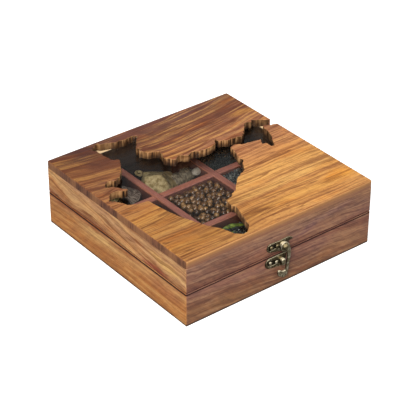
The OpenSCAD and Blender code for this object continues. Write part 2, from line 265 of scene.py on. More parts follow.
@dataclass(frozen=True)
class WoodFinish:
    """Oiled rosewood: bands across the board, streaks and pores along it, and a satin coat."""

    name: str
    grain: Axis
    across: Axis
    bands: tuple[tuple[float, str], ...]
    patches: tuple[Patch, ...] = ()
    shade: str = "6A3818"
    glow: str = "F2BE78"
    amber: str = "D07A28"
    warmth: float = 0.3
    streaks: float = 0.5
    lines: float = 0.4
    sway: float = 6.0
    flow: float = 34.0
    lean: float = 0.0
    bow: float = 0.0
    offset: float = 0.0
    roughness: float = 0.42
    coat: float = 0.06
    dark_inside_from: float = 0.0
    dark_inside: str = "342A25"
    end_tone: str = ""
    fall: tuple[tuple[float, str], ...] = ()
    rims: tuple[Rim, ...] = ()
    bare_from: float = 0.0
    bow_from: float = -1000.0

    def material(self) -> bpy.types.Material:
        """Builds the finish as a material."""
        material, g, shader = new_material(self.name)
        place = g.place_mm()
        deep_axis = next(a for a in Axis if a not in (self.grain, self.across))
        along, across, deep = (place[a.value] for a in (self.grain, self.across, deep_axis))
        shifted = g.add(deep, self.offset)

        drift = g.clouds(g.join(g.times(along, 1 / 80), g.times(across, 1 / 40), shifted), 2.0)
        ripple = g.clouds(g.join(g.times(along, 1 / 17), g.times(across, 1 / 10), shifted), 1.0)
        bent = g.add(across, g.times(g.add(drift, -0.5), 2.4 * self.sway))
        bent = g.add(bent, g.times(g.add(ripple, -0.5), 0.34 * self.sway))
        bent = g.add(bent, g.times(along, self.lean))
        bow = g.fade(across, self.bow_from, self.bow_from + 45.0, 0.0, self.bow)
        bent = g.add(bent, g.times(g.times(along, along), bow))

        low, high = self.bands[0][0], self.bands[-1][0]
        stops = [((at - low) / (high - low), tone) for at, tone in self.bands]
        colour = g.ramp(g.math("DIVIDE", g.add(bent, -low), high - low), stops)
        for patch in self.patches:
            wavy = g.add(across, g.fade(ripple, 0.2, 0.8, -1.5, 1.5))
            colour = self.add_patch(g, colour, patch, along, wavy)

        warm = g.clouds(g.join(g.times(along, 1 / 60), g.times(bent, 1 / 9), g.add(shifted, 3.7)), 2.0)
        colour = g.mix(g.fade(warm, 0.52, 0.70, 0.0, self.warmth), colour, self.amber)

        fine = g.clouds(g.join(g.times(along, 1 / self.flow), g.times(bent, 1 / 1.9), shifted), 3.0, 0.6)
        broad = g.clouds(g.join(g.times(along, 1 / 85), g.times(bent, 1 / 5.0), shifted), 2.0, 0.55)
        streak = g.add(g.times(fine, 0.6), g.times(broad, 0.4))
        dark = g.fade(streak, 0.51, 0.41, 0.0, self.streaks)
        colour = g.mix(dark, colour, g.mix(0.8, colour, self.shade))
        light = g.fade(streak, 0.51, 0.61, 0.0, 0.6 * self.streaks)
        colour = g.mix(light, colour, self.glow)

        thread_at = g.join(g.times(along, 1 / 170), g.times(bent, 1 / 9), g.add(shifted, 7.3))
        thread = g.clouds(thread_at, 1.0, 0.6)
        strong = g.clouds(g.join(g.times(along, 1 / 45), g.times(bent, 1 / 12), g.add(shifted, 1.9)), 1.0)
        width = g.fade(strong, 0.4, 0.7, 0.012, 0.05)
        apart = g.math("ABSOLUTE", g.add(thread, -0.5))
        line = g.fade(g.math("DIVIDE", apart, width), 1.0, 0.2, 0.0, self.lines)
        colour = g.mix(line, colour, g.mix(0.85, colour, self.shade))

        pore = g.clouds(g.join(g.times(along, 1 / 5), g.times(across, 1 / 0.4), g.times(deep, 1 / 0.4)), 0.0)
        pores = g.fade(pore, 0.63, 0.74)
        colour = g.mix(g.times(pores, 0.4), colour, self.shade)

        # Painted sheen: soft lighter bands slanted across the grain.
        slanted = g.add(along, g.times(across, 0.9))
        painted_sheen = g.clouds(g.join(g.times(slanted, 1 / 6), g.times(across, 1 / 8), shifted), 2.0)
        colour = g.mix(g.fade(painted_sheen, 0.35, 0.65, 0.0, 0.3), colour, "FFF0DC", "SOFT_LIGHT")

        if self.fall:
            first, last = self.fall[0][0], self.fall[-1][0]
            dim = g.ramp(g.math("DIVIDE", g.add(along, -first), last - first),
                         [((at - first) / (last - first), tone) for at, tone in self.fall])
            colour = g.mix(1.0, colour, dim, "MULTIPLY")
        if self.end_tone:
            colour = self.add_end_grain(g, colour, place)
        if self.rims or self.bare_from:
            colour = self.add_edges(g, colour, place[2])
        # Darker on the inner faces of the walls.
        if self.dark_inside_from:
            inside = g.fade(g.math("ABSOLUTE", deep), self.dark_inside_from + 0.3, self.dark_inside_from - 0.3)
            colour = g.mix(g.times(inside, 0.94), colour, self.dark_inside)

        g.feed(shader.inputs["Base Color"], colour)
        worn = g.fade(fine, 0.3, 0.7, self.roughness - 0.05, self.roughness + 0.07)
        rough = g.add(worn, g.times(pores, 0.15))
        g.feed(shader.inputs["Roughness"], rough)
        g.feed(shader.inputs["Normal"], g.bump(g.add(g.times(fine, 0.6), g.times(pores, -0.8)), 0.06))
        shader.inputs["Specular IOR Level"].default_value = 0.28
        shader.inputs["Coat Weight"].default_value = self.coat
        shader.inputs["Coat Roughness"].default_value = 0.25
        return material

    @staticmethod
    def add_patch(g: Graph, colour: Any, patch: Patch, along: Any, across: Any) -> Any:
        """Lays one soft oval of another tone over the board's colour.

        Args:
            g: The material's graph.
            colour: The colour so far.
            patch: The oval.
            along: The distance along the grain.
            across: The distance across it.

        Returns:
            The colour with the oval in it.
        """
        da = g.add(along, -patch.along)
        dc = g.add(g.add(across, -patch.across), g.times(da, -patch.lean))
        da = g.times(da, 1 / patch.reach_along)
        dc = g.times(dc, 1 / patch.reach_across)
        apart = g.math("SQRT", g.add(g.times(da, da), g.times(dc, dc)))
        return g.mix(g.fade(apart, 1.0, 0.25, 0.0, patch.strength), colour, patch.tone)

    def add_edges(self, g: Graph, colour: Any, z: Any) -> Any:
        """Lays the dark rims on the upright faces, and bare wood on the hidden upper face.

        Args:
            g: The material's graph.
            colour: The colour so far.
            z: The height.

        Returns:
            The colour with the edges in it.
        """
        level = g.fade(g.math("ABSOLUTE", g.facing()[2]), 0.5, 0.8)
        upright = g.math("SUBTRACT", 1.0, level)
        for rim in self.rims:
            if rim.full > rim.gone:
                band = g.fade(z, rim.gone, rim.full)
            else:
                band = g.fade(z, rim.full, rim.gone, 1.0, 0.0)
            colour = g.mix(g.times(g.times(band, upright), rim.strength), colour, rim.tone)
        if self.bare_from:
            bare = g.times(level, g.fade(z, self.bare_from - 0.2, self.bare_from))
            colour = g.mix(g.times(bare, 0.85), colour, "F0D4A8")
        return colour

    def add_end_grain(self, g: Graph, colour: Any, place: list[Any]) -> Any:
        """Darkens the board's two ends, where the grain is cut across, with short upright streaks."""
        ends = g.fade(g.math("ABSOLUTE", g.facing()[self.grain.value]), 0.6, 0.8)
        flecks = g.clouds(g.join(g.times(place[1], 1 / 1.3), g.times(place[2], 1 / 14), 0.0), 2.0, 0.7)
        broad = g.clouds(g.join(g.times(place[1], 1 / 17), 0.3, 0.0), 1.0)
        mottled = g.mix(g.fade(flecks, 0.38, 0.58), "4A2E24", self.end_tone)
        mottled = g.mix(g.fade(broad, 0.40, 0.62, 0.0, 0.6), mottled, "A0704A")
        return g.mix(ends, colour, mottled)


@dataclass(frozen=True)
class SawnWoodFinish(WoodFinish):
    """Wood whose sawn window edge shows dark and pale saw facets, painted as shaded and lit strips."""

    inner_x: float = 100.0
    inner_y: float = 98.6

    @staticmethod
    def edge_stops() -> tuple[tuple[float, str], ...]:
        """Gives the tones of the board's long outer edges, from their foot to their top."""
        return ((0.0, "94685A"), (0.45, "A07458"), (0.75, "B88456"), (0.97, "D09A60"))

    def material(self) -> bpy.types.Material:
        """Builds the finish, with the saw facets on the upright faces away from the board's rim."""
        material = super().material()
        g = Graph(material.node_tree)
        shader = next(n for n in g.tree.nodes if n.type == "BSDF_PRINCIPLED")
        colour = shader.inputs["Base Color"].links[0].from_socket
        x, y, z = g.place_mm()
        upright = g.fade(g.math("ABSOLUTE", g.facing()[2]), 0.55, 0.3)
        in_x = g.fade(g.math("ABSOLUTE", x), self.inner_x + 0.2, self.inner_x - 0.2)
        in_y = g.fade(g.math("ABSOLUTE", y), self.inner_y + 0.2, self.inner_y - 0.2)
        sawn = g.times(upright, g.times(in_x, in_y))
        # Painted light: dark and pale strips on the sawn faces stand for shaded and lit saw facets.
        narrow = g.clouds(g.join(g.times(x, 1 / 2.4), g.times(y, 1 / 2.4), g.times(z, 1 / 30)), 1.0, 0.6)
        wide = g.clouds(g.join(g.times(x, 1 / 7), g.times(y, 1 / 7), g.times(z, 1 / 9)), 1.0)
        teeth = g.add(g.times(narrow, 0.6), g.times(wide, 0.4))
        stops = ((0.36, "20140D"), (0.44, "4E3422"), (0.52, "8A623E"), (0.60, "BE9264"))
        facets = g.ramp(teeth, stops)
        # Painted shade towards the foot of the sawn faces.
        foot = g.fade(g.add(z, g.times(wide, 6.0)), 60.0, 66.5, 0.75, 0.0)
        facets = g.mix(foot, facets, "22160E")
        lip = g.fade(z, 63.4, 64.0, 0.0, 0.6)
        facets = g.mix(lip, facets, "C89A68")
        # The painted facet strips run darker towards the back and the right.
        far_dark = g.add(g.fade(y, 50.0, 85.0, 0.0, 0.4), g.fade(x, 50.0, 75.0, 0.0, 0.5))
        facets = g.mix(far_dark, facets, "2A1A10")
        front = g.fade(g.math("ABSOLUTE", g.facing()[1]), 0.6, 0.8)
        edge = g.ramp(g.math("DIVIDE", g.add(z, -57.0), 7.6), self.edge_stops())
        rim = g.times(g.times(front, g.math("SUBTRACT", 1.0, in_y)), 0.72)
        colour = g.mix(rim, colour, edge)
        g.feed(shader.inputs["Base Color"], g.mix(sawn, colour, facets))
        return material


@dataclass(frozen=True)
class BrassFinish:
    """Antique brass: rubbed bright in blotches, brown-black in the low ones, with painted highlights on
    upward faces and painted shade on downward and left-facing faces.
    """

    name: str
    bright: str = "EADFC0"
    dull: str = "A09272"
    black: str = "1A130B"
    wear: float = 0.55
    roughness: float = 0.32
    hollow_front: tuple[float, float] = (-101.1, -100.9)
    hollow_back: tuple[float, float] = (-99.0, -99.5)

    def material(self) -> bpy.types.Material:
        """Builds the finish as a material."""
        material, g, shader = new_material(self.name)
        x, y, z = g.place_mm()
        blotch = g.clouds(g.join(g.times(x, 1 / 2.6), g.times(y, 1 / 2.6), g.times(z, 1 / 2.6)), 3.0, 0.6)
        grit = g.clouds(g.join(g.times(x, 1 / 0.35), g.times(y, 1 / 0.35), g.times(z, 1 / 0.35)), 2.0)
        rubbed = g.fade(blotch, 0.68 - 0.4 * self.wear, 0.86 - 0.4 * self.wear)
        colour = g.mix(rubbed, self.dull, self.bright)
        colour = g.mix(g.fade(blotch, 0.44, 0.30, 0.0, 0.6), colour, self.black)
        colour = g.mix(g.fade(grit, 0.6, 0.75, 0.0, 0.3), colour, self.black)
        side, _, up = g.facing()
        # Painted highlight on upward faces; painted shade on downward and left-facing faces.
        colour = g.mix(g.fade(up, 0.1, 0.45, 0.0, 0.95), colour, self.bright)
        colour = g.mix(g.fade(up, -0.25, -0.6, 0.0, 0.8), colour, self.black)
        colour = g.mix(g.fade(side, -0.45, -0.75, 0.0, 0.8), colour, self.black)
        hollow = g.times(g.fade(y, *self.hollow_front), g.fade(y, *self.hollow_back))
        colour = g.mix(g.times(hollow, 0.75), colour, self.black)
        g.feed(shader.inputs["Base Color"], colour)
        g.feed(shader.inputs["Roughness"], g.fade(blotch, 0.3, 0.7, self.roughness + 0.16, self.roughness))
        g.feed(shader.inputs["Normal"], g.bump(grit, 0.02))
        # Upward faces less metallic, so their painted highlight shows.
        g.feed(shader.inputs["Metallic"], g.fade(up, 0.1, 0.45, 1.0, 0.35))
        return material


@dataclass(frozen=True)
class PaneFinish:
    """Clear sheet that lets light through and mirrors a little of the room."""

    name: str
    tint: str = "F6F7F7"
    gloss: float = 0.04

    def material(self) -> bpy.types.Material:
        """Builds the finish as a material."""
        material, g, shader = new_material(self.name)
        x, y, z = g.place_mm()
        haze = g.clouds(g.join(g.times(x, 1 / 30), g.times(y, 1 / 30), g.times(z, 1 / 30)), 2.0)
        clear = g.node("ShaderNodeBsdfTransparent", {"Color": paint(self.tint)})
        shine = g.node("ShaderNodeBsdfGlossy", {"Color": paint("F2F4F4")})
        g.feed(shine.inputs["Roughness"], g.fade(haze, 0.3, 0.7, self.gloss, 2.5 * self.gloss))
        slant = g.node("ShaderNodeLayerWeight", {"Blend": 0.5}).outputs["Facing"]
        mirror = g.add(g.times(g.math("POWER", slant, 5.0), 0.9), 0.015)
        blend = g.node("ShaderNodeMixShader", {0: mirror, 1: clear.outputs[0], 2: shine.outputs[0]})
        output = next(n for n in g.tree.nodes if n.type == "OUTPUT_MATERIAL")
        g.feed(output.inputs["Surface"], blend.outputs[0])
        g.tree.nodes.remove(shader)
        return material


@dataclass(frozen=True)
class SpiceFinish:
    """Dried spice: three tones that change from piece to piece and over each piece."""

    name: str
    dark: str
    mid: str
    light: str
    speck_mm: float = 1.2
    roughness: float = 0.55
    coat: float = 0.0
    dent_mm: float = 0.12
    stretch: tuple[float, float, float] = (1.0, 1.0, 1.0)
    painted_shade: float = 0.0

    def material(self) -> bpy.types.Material:
        """Builds the finish as a material; the attribute called tint sets each seed's own tone."""
        material, g, shader = new_material(self.name)
        x, y, z = g.place_mm()
        size = [k * self.speck_mm for k in self.stretch]
        specks = g.clouds(g.join(*(g.times(p, 1 / s) for p, s in zip((x, y, z), size))), 3.0, 0.6)
        wrinkles = g.clouds(g.join(*(g.times(p, 1.6 / s) for p, s in zip((x, y, z), size))), 2.0, 0.7)
        tint = g.node("ShaderNodeAttribute", attribute_name="tint").outputs["Fac"]
        level = g.add(g.times(tint, 0.55), g.fade(specks, 0.32, 0.68, 0.0, 0.45))
        colour = g.ramp(level, ((0.05, self.dark), (0.5, self.mid), (0.95, self.light)))
        colour = g.mix(g.fade(wrinkles, 0.47, 0.34, 0.0, 0.55), colour, self.dark)
        # Painted shade: faces turned away from above darken towards near-black.
        if self.painted_shade:
            colour = g.mix(g.fade(g.facing()[2], 0.8, 0.1, 0.0, self.painted_shade), colour, "0A0604")
        g.feed(shader.inputs["Base Color"], colour)
        g.feed(shader.inputs["Roughness"], g.fade(specks, 0.3, 0.7, self.roughness + 0.1, self.roughness))
        g.feed(shader.inputs["Normal"], g.bump(wrinkles, self.dent_mm))
        shader.inputs["Coat Weight"].default_value = self.coat
        shader.inputs["Coat Roughness"].default_value = 0.2
        return material


# Meshes


def link_mesh(name: str, build: Callable[[bmesh.types.BMesh], None]) -> bpy.types.Object:
    """Makes an object whose mesh a function builds.

    Args:
        name: The object's name.
        build: Fills an empty bmesh, in metres of the box's frame.

    Returns:
        The new object, in the scene.
    """
    bm = bmesh.new()
    build(bm)
    mesh = bpy.data.meshes.new(name)
    bm.to_mesh(mesh)
    bm.free()
    made = bpy.data.objects.new(name, mesh)
    bpy.context.scene.collection.objects.link(made)
    return made


def settle(piece: bpy.types.Object) -> bpy.types.Object:
    """Turns a piece with its modifiers into one plain mesh."""
    graph = bpy.context.evaluated_depsgraph_get()
    mesh = bpy.data.meshes.new_from_object(piece.evaluated_get(graph))
    piece.modifiers.clear()
    piece.data = mesh
    return piece


def smooth(piece: bpy.types.Object, degrees: float = 35.0) -> bpy.types.Object:
    """Shades a piece smooth, but for edges sharper than the angle."""
    piece.data.polygons.foreach_set("use_smooth", [True] * len(piece.data.polygons))
    piece.data.set_sharp_from_angle(angle=math.radians(degrees))
    return piece


def dress(piece: bpy.types.Object, material: bpy.types.Material) -> bpy.types.Object:
    """Gives every face of a piece one material."""
    if piece.data.materials:
        for number in range(len(piece.data.materials)):
            piece.material_slots[number].material = material
    else:
        piece.data.materials.append(material)
    return piece


def seat(piece: bpy.types.Object, body: str, slot: str, *nodes: str) -> bpy.types.Object:
    """Makes a finished piece part of the box.

    Args:
        piece: The piece, in place.
        body: The moving body that it rides on.
        slot: The record's material slot of its finish; not used.
        *nodes: The plain nodes that it stands for, if any.

    Returns:
        The piece.
    """
    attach(piece, body)
    if nodes:
        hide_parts(*nodes)
    log.info("%s rides on %s: %d faces", piece.name, body, len(piece.data.polygons))
    return piece


def merged_copy(node: bpy.types.Object, name: str) -> bpy.types.Object:
    """Copies a node's mesh with its loose triangles joined and its flat faces made whole."""

    def build(bm: bmesh.types.BMesh) -> None:
        """Puts the shape into the mesh."""
        bm.from_mesh(node.data)
        bmesh.ops.remove_doubles(bm, verts=bm.verts, dist=0.001 * MM)
        bmesh.ops.dissolve_limit(bm, angle_limit=math.radians(0.5), verts=bm.verts, edges=bm.edges)

    return link_mesh(name, build)


def ease_edges(piece: bpy.types.Object, width_mm: float, segments: int = 2) -> bpy.types.Object:
    """Rounds a piece's sharp edges.

    Args:
        piece: The piece.
        width_mm: How far from each edge the rounding starts.
        segments: The number of facets across the rounding.

    Returns:
        The piece, as one plain mesh.
    """
    bevel = piece.modifiers.new("eased", "BEVEL")
    bevel.width = width_mm * MM
    bevel.segments = segments
    bevel.limit_method = "ANGLE"
    bevel.angle_limit = math.radians(40)
    bevel.use_clamp_overlap = True
    bevel.harden_normals = False
    return smooth(settle(piece), 38)


def carve(piece: bpy.types.Object, cutter: bpy.types.Object) -> bpy.types.Object:
    """Cuts one solid out of a piece and throws the cutter away."""
    cut = piece.modifiers.new("carved", "BOOLEAN")
    cut.operation = "DIFFERENCE"
    cut.solver = "EXACT"
    cut.use_self = True
    cut.object = cutter
    settle(piece)
    mesh = cutter.data
    bpy.data.objects.remove(cutter)
    bpy.data.meshes.remove(mesh)
    return piece


def stack_rings(bm: bmesh.types.BMesh, rings: Sequence[Sequence[Vector]]) -> None:
    """Closes a solid over rings of points that all have the same count.

    Args:
        bm: The mesh that the solid goes into.
        rings: The rings from the first end to the last.
    """
    rows = [[bm.verts.new(p) for p in ring] for ring in rings]
    count = len(rows[0])
    for low, high in zip(rows, rows[1:]):
        for i in range(count):
            j = (i + 1) % count
            bm.faces.new((low[i], low[j], high[j], high[i]))
    bm.faces.new(list(reversed(rows[0])))
    bm.faces.new(rows[-1])
    bmesh.ops.recalc_face_normals(bm, faces=bm.faces)


def offset_ring(points: Sequence[Vector], distance: float) -> list[Vector]:
    """Moves a flat anticlockwise ring outwards by a distance, corner by corner."""
    moved = []
    for i, here in enumerate(points):
        before, after = points[i - 1], points[(i + 1) % len(points)]
        way = (after - before).normalized()
        moved.append(here + Vector((way.y, -way.x, 0.0)) * distance)
    return moved


def ball(bm: bmesh.types.BMesh, segments: int, rings: int, shape: Callable[[Vector], Vector]) -> None:
    """Adds a ball whose every point a function puts in place.

    Args:
        bm: The mesh that the ball goes into.
        segments: The faces round it.
        rings: The faces from pole to pole.
        shape: Turns a point of the unit ball into its place in metres.
    """
    made = bmesh.ops.create_uvsphere(bm, u_segments=segments, v_segments=rings, radius=1.0)
    for vert in made["verts"]:
        vert.co = shape(vert.co.copy())


def place(at: Sequence[float], turn_deg: Sequence[float] = (0, 0, 0)) -> Callable[[Vector], Vector]:
    """Gives a function that turns a point in millimetres and moves it to its place in metres."""
    spin = Matrix.Rotation(math.radians(turn_deg[2]), 3, "Z")
    spin = spin @ Matrix.Rotation(math.radians(turn_deg[1]), 3, "Y")
    spin = spin @ Matrix.Rotation(math.radians(turn_deg[0]), 3, "X")
    return lambda p: (spin @ p + Vector(at)) * MM


# Trees that repeat a shape


class Scatter:
    """Geometry trees that repeat one shape over points, each kept as a plain mesh in the end."""

    def __init__(self) -> None:
        """Builds the two trees."""
        self.heads = self.build_heads()
        self.seeds = self.build_seeds()

    @staticmethod
    def new_tree(name: str, inputs: Sequence[tuple[str, str, Any]]) -> tuple[Any, Graph, dict[str, Any]]:
        """Starts a geometry tree with named inputs.

        Args:
            name: The tree's name.
            inputs: Each input's name, its socket type after "NodeSocket", and its first value.

        Returns:
            The tree, its graph, and the input sockets inside it by name.
        """
        tree = bpy.data.node_groups.new(name, "GeometryNodeTree")
        tree.interface.new_socket(name="Geometry", in_out="INPUT", socket_type="NodeSocketGeometry")
        tree.interface.new_socket(name="Geometry", in_out="OUTPUT", socket_type="NodeSocketGeometry")
        for label, kind, value in inputs:
            socket = tree.interface.new_socket(name=label, in_out="INPUT", socket_type="NodeSocket" + kind)
            if value is not None:
                socket.default_value = value
        graph = Graph(tree)
        entry = graph.node("NodeGroupInput")
        return tree, graph, {s.name: s for s in entry.outputs if s.name}

    @staticmethod
    def run(piece: bpy.types.Object, tree: Any, values: dict[str, Any]) -> bpy.types.Object:
        """Runs a tree on a piece and keeps what it makes as the piece's own mesh.

        Args:
            piece: The object whose mesh goes into the tree.
            tree: The geometry tree.
            values: The tree's inputs by name.

        Returns:
            The piece.
        """
        modifier = piece.modifiers.new("scatter", "NODES")
        modifier.node_group = tree
        sockets = {s.name: s.identifier for s in tree.interface.items_tree if s.in_out == "INPUT"}
        for label, value in values.items():
            modifier[sockets[label]] = value
        return settle(piece)

    def build_heads(self) -> Any:
        """Builds the tree that sets one head on every point of a mesh."""
        inputs = (
            ("Head", "Object", None),
            ("Turn", "Vector", (0.0, 0.0, 0.0)),
            ("Finish", "Material", None),
        )
        tree, g, given = self.new_tree("fastener_row", inputs)
        shape = g.node("GeometryNodeObjectInfo", {"Object": given["Head"]})
        turn = g.node("FunctionNodeRandomValue", {0: (0, 0, 0), 1: (0, 2.6, 0), "Seed": 3},
                      data_type="FLOAT_VECTOR")
        total = g.node("ShaderNodeVectorMath", {0: given["Turn"], 1: turn.outputs[0]}, operation="ADD")
        feeds = {
            "Points": given["Geometry"], "Instance": shape.outputs["Geometry"], "Rotation": total.outputs[0],
        }
        heads = g.node("GeometryNodeInstanceOnPoints", feeds)
        real = g.node("GeometryNodeRealizeInstances", {0: heads.outputs[0]})
        done = g.node("GeometryNodeSetMaterial", {"Geometry": real.outputs[0], "Material": given["Finish"]})
        g.node("NodeGroupOutput", {0: done.outputs[0]})
        return tree

    def build_seeds(self) -> Any:
        """Builds the tree that heaps two jittered layers of seeds on a bed."""
        inputs = (
            ("Seed Shape", "Object", None),
            ("Columns", "Int", 11),
            ("Rows", "Int", 13),
            ("Spacing", "Float", 5 * MM),
            ("Middle", "Vector", (0.0, 0.0, 0.0)),
            ("Heap", "Float", 2 * MM),
            ("Jitter", "Float", 0.6 * MM),
            ("Size Spread", "Float", 0.1),
            ("Lie", "Float", 3.1),
            ("Random Seed", "Int", 1),
            ("Finish", "Material", None),
        )
        tree, g, given = self.new_tree("seed_heap", inputs)
        pitch = given["Spacing"]
        row_pitch = g.times(pitch, 0.866)
        size_x = g.times(g.add(given["Columns"], -1.0), pitch)
        size_y = g.times(g.add(given["Rows"], -1.0), row_pitch)
        feeds = {
            "Size X": size_x, "Size Y": size_y, "Vertices X": given["Columns"], "Vertices Y": given["Rows"],
        }
        grid = g.node("GeometryNodeMeshGrid", feeds)
        x, y, _ = g.split(g.node("GeometryNodeInputPosition").outputs[0])
        row = g.math("ROUND", g.math("DIVIDE", g.add(y, g.times(size_y, 0.5)), row_pitch))
        odd = g.math("MODULO", row, 2.0)
        shift = g.times(g.add(odd, -0.5), g.times(pitch, 0.5))
        fall_x = g.math("DIVIDE", x, g.times(size_x, 0.5))
        fall_y = g.math("DIVIDE", y, g.times(size_y, 0.5))
        crown = g.times(g.math("SUBTRACT", 1.0, g.times(fall_x, fall_x)),
                        g.math("SUBTRACT", 1.0, g.times(fall_y, fall_y)))
        rise = g.times(crown, given["Heap"])
        moved = g.node("GeometryNodeSetPosition",
                       {"Geometry": grid.outputs[0], "Offset": g.join(shift, 0.0, rise)})
        under = g.join(g.times(pitch, 0.25), g.times(pitch, 0.29), g.times(pitch, -0.72))
        lower = g.node("GeometryNodeTransform", {"Geometry": moved.outputs[0], "Translation": under})
        both = g.node("GeometryNodeJoinGeometry")
        g.feed(both.inputs[0], moved.outputs[0])
        g.feed(both.inputs[0], lower.outputs[0])
        wobble = g.node("FunctionNodeRandomValue",
                        {0: (-1, -1, -0.8), 1: (1, 1, 0.8), "Seed": given["Random Seed"]},
                        data_type="FLOAT_VECTOR")
        nudge = g.node("ShaderNodeVectorMath", {0: wobble.outputs[0], "Scale": given["Jitter"]},
                       operation="SCALE")
        strewn = g.node("GeometryNodeSetPosition", {"Geometry": both.outputs[0], "Offset": nudge.outputs[0]})
        next_seed = g.add(given["Random Seed"], 11.0)
        tumble = g.node("FunctionNodeRandomValue", {0: (0, 0, 0), 1: (1, 1, 1), "Seed": next_seed},
                        data_type="FLOAT_VECTOR")
        tx, ty, tz = g.split(tumble.outputs[0])
        turn = g.join(g.times(tx, given["Lie"]), g.times(ty, given["Lie"]), g.times(tz, 6.283))
        low, high = g.math("SUBTRACT", 1.0, given["Size Spread"]), g.add(1.0, given["Size Spread"])
        grow = g.node("FunctionNodeRandomValue", {2: low, 3: high, "Seed": g.add(next_seed, 5.0)},
                      data_type="FLOAT")
        shape = g.node("GeometryNodeObjectInfo", {"Object": given["Seed Shape"]})
        feeds = {"Points": strewn.outputs[0], "Instance": shape.outputs["Geometry"], "Rotation": turn,
                 "Scale": grow.outputs[1]}
        seeds = g.node("GeometryNodeInstanceOnPoints", feeds)
        tone = g.node("FunctionNodeRandomValue", {2: 0.0, 3: 1.0, "Seed": g.add(next_seed, 9.0)},
                      data_type="FLOAT")
        tinted = g.node("GeometryNodeStoreNamedAttribute",
                        {"Geometry": seeds.outputs[0], "Name": "tint", "Value": tone.outputs[1]},
                        data_type="FLOAT", domain="INSTANCE")
        centred = g.node("GeometryNodeTransform",
                         {"Geometry": tinted.outputs[0], "Translation": given["Middle"]})
        real = g.node("GeometryNodeRealizeInstances", {0: centred.outputs[0]})
        whole = g.node("GeometryNodeJoinGeometry")
        g.feed(whole.inputs[0], given["Geometry"])
        g.feed(whole.inputs[0], real.outputs[0])
        done = g.node("GeometryNodeSetMaterial", {"Geometry": whole.outputs[0], "Material": given["Finish"]})
        g.node("NodeGroupOutput", {0: done.outputs[0]})
        return tree


# The box's finishes

TOP_WOOD = SawnWoodFinish(
    name="top_rosewood",
    grain=Axis.X,
    across=Axis.Y,
    bands=(
        (-104, "C08A54"), (-97, "C08850"), (-88, "C48A4E"), (-78, "CC924C"), (-69, "C48A4E"),
        (-64, "B47840"), (-60, "C08850"), (-54, "D4A05C"), (-46, "C89054"), (-38, "D69C58"),
        (-28, "CE9654"), (-18, "C88C52"), (-8, "C48854"), (3, "B87E52"), (14, "AE7650"),
        (24, "A06C4A"), (34, "966448"), (44, "966444"), (52, "865840"), (58, "764A38"),
        (64, "6E4434"), (70, "764C38"), (78, "7A5238"), (86, "704A3C"), (94, "6C4640"), (104, "6A4640"),
    ),
    patches=(
        Patch(86, -74, 26, 10, "DC8E2C", 0.6),
        Patch(92, -56, 34, 6, "D08434", 0.4),
        Patch(92, 62, 26, 6, "B47C3C", 0.7),
        Patch(-72, 90, 34, 12, "4E3034", 0.6),
        Patch(-92, 62, 20, 26, "A0683C", 0.5),
        Patch(-68, 46, 22, 14, "B07848", 0.3),
        Patch(-84, 10, 10, 10, "7A3E28", 0.5),
        Patch(40, 66, 46, 4, "54302A", 0.5, 0.22),
        Patch(10, 84, 60, 5, "5C3834", 0.45, 0.12),
        Patch(60, 92, 40, 5, "54343A", 0.5, 0.12),
    ),
    fall=((-102, "D0CAC4"), (-60, "D2CDC8"), (-30, "DEDAD6"), (0, "F2F0EE"), (35, "FFFFFF"), (102, "FFFFFF")),
    glow="E6AE62",
    shade="5E2C14",
    amber="CE7824",
    streaks=0.68,
    lines=0.68,
    sway=4.0,
    flow=52.0,
    bow=-0.0011,
    bow_from=15.0,
    roughness=0.40,
    coat=0.06,
    end_tone="7C523C",
)

LID_FRONT_WOOD = WoodFinish(
    name="lid_front_rosewood",
    grain=Axis.X,
    across=Axis.Z,
    bands=(
        (30, "7E5244"), (36, "8A604E"), (42, "94695A"), (47, "8C6656"), (52, "96705E"), (58, "A2785C"),
        (66, "AC7E5C"),
    ),
    patches=(
        Patch(-70, 44, 50, 16, "7C5A48", 0.5),
        Patch(60, 40, 40, 9, "A87C5E", 0.5, 0.1),
        Patch(30, 46, 18, 5, "765458", 0.6, 0.3),
        Patch(64, 52, 30, 5, "7C5A5C", 0.5, 0.1),
        Patch(-20, 50, 30, 5, "A07660", 0.4),
    ),
    # Rim: painted shade along the lid's foot, in the seam above the base.
    rims=(Rim(33.7, 34.5, "3A1412", 0.85),),
    bare_from=57.1,
    shade="4A2A2C",
    glow="CFA282",
    amber="A8603C",
    warmth=0.15,
    streaks=0.54,
    lines=0.4,
    sway=5.0,
    lean=0.05,
    offset=3.0,
    dark_inside_from=91.0,
)

BASE_FRONT_WOOD = WoodFinish(
    name="base_front_rosewood",
    grain=Axis.X,
    across=Axis.Z,
    bands=(
        (-2, "8A6248"), (5, "94694A"), (11, "8A6048"), (17, "8C6450"), (23, "94695A"), (29, "8A6052"),
        (35, "80564A"),
    ),
    patches=(
        Patch(74, 16, 36, 16, "B0825E", 0.6),
        Patch(-60, 6, 44, 7, "946C48", 0.5),
        # Painted shadow of the latch: a darker patch to the latch's right on the base front.
        Patch(20, 12, 22, 14, "76503F", 0.5),
        Patch(48, 10, 12, 7, "B07A50", 0.4, 0.4),
    ),
    # Rims: painted shade along the top, in the seam under the lid, and a dark line along the foot.
    rims=(Rim(31.3, 30.6, "2C0E0C", 0.95), Rim(1.7, 2.4, "20130E", 0.85)),
    shade="4A282A",
    glow="CC9E7C",
    amber="A8603C",
    warmth=0.15,
    streaks=0.54,
    lines=0.4,
    sway=6.0,
    lean=0.07,
    offset=11.0,
    dark_inside_from=91.0,
)

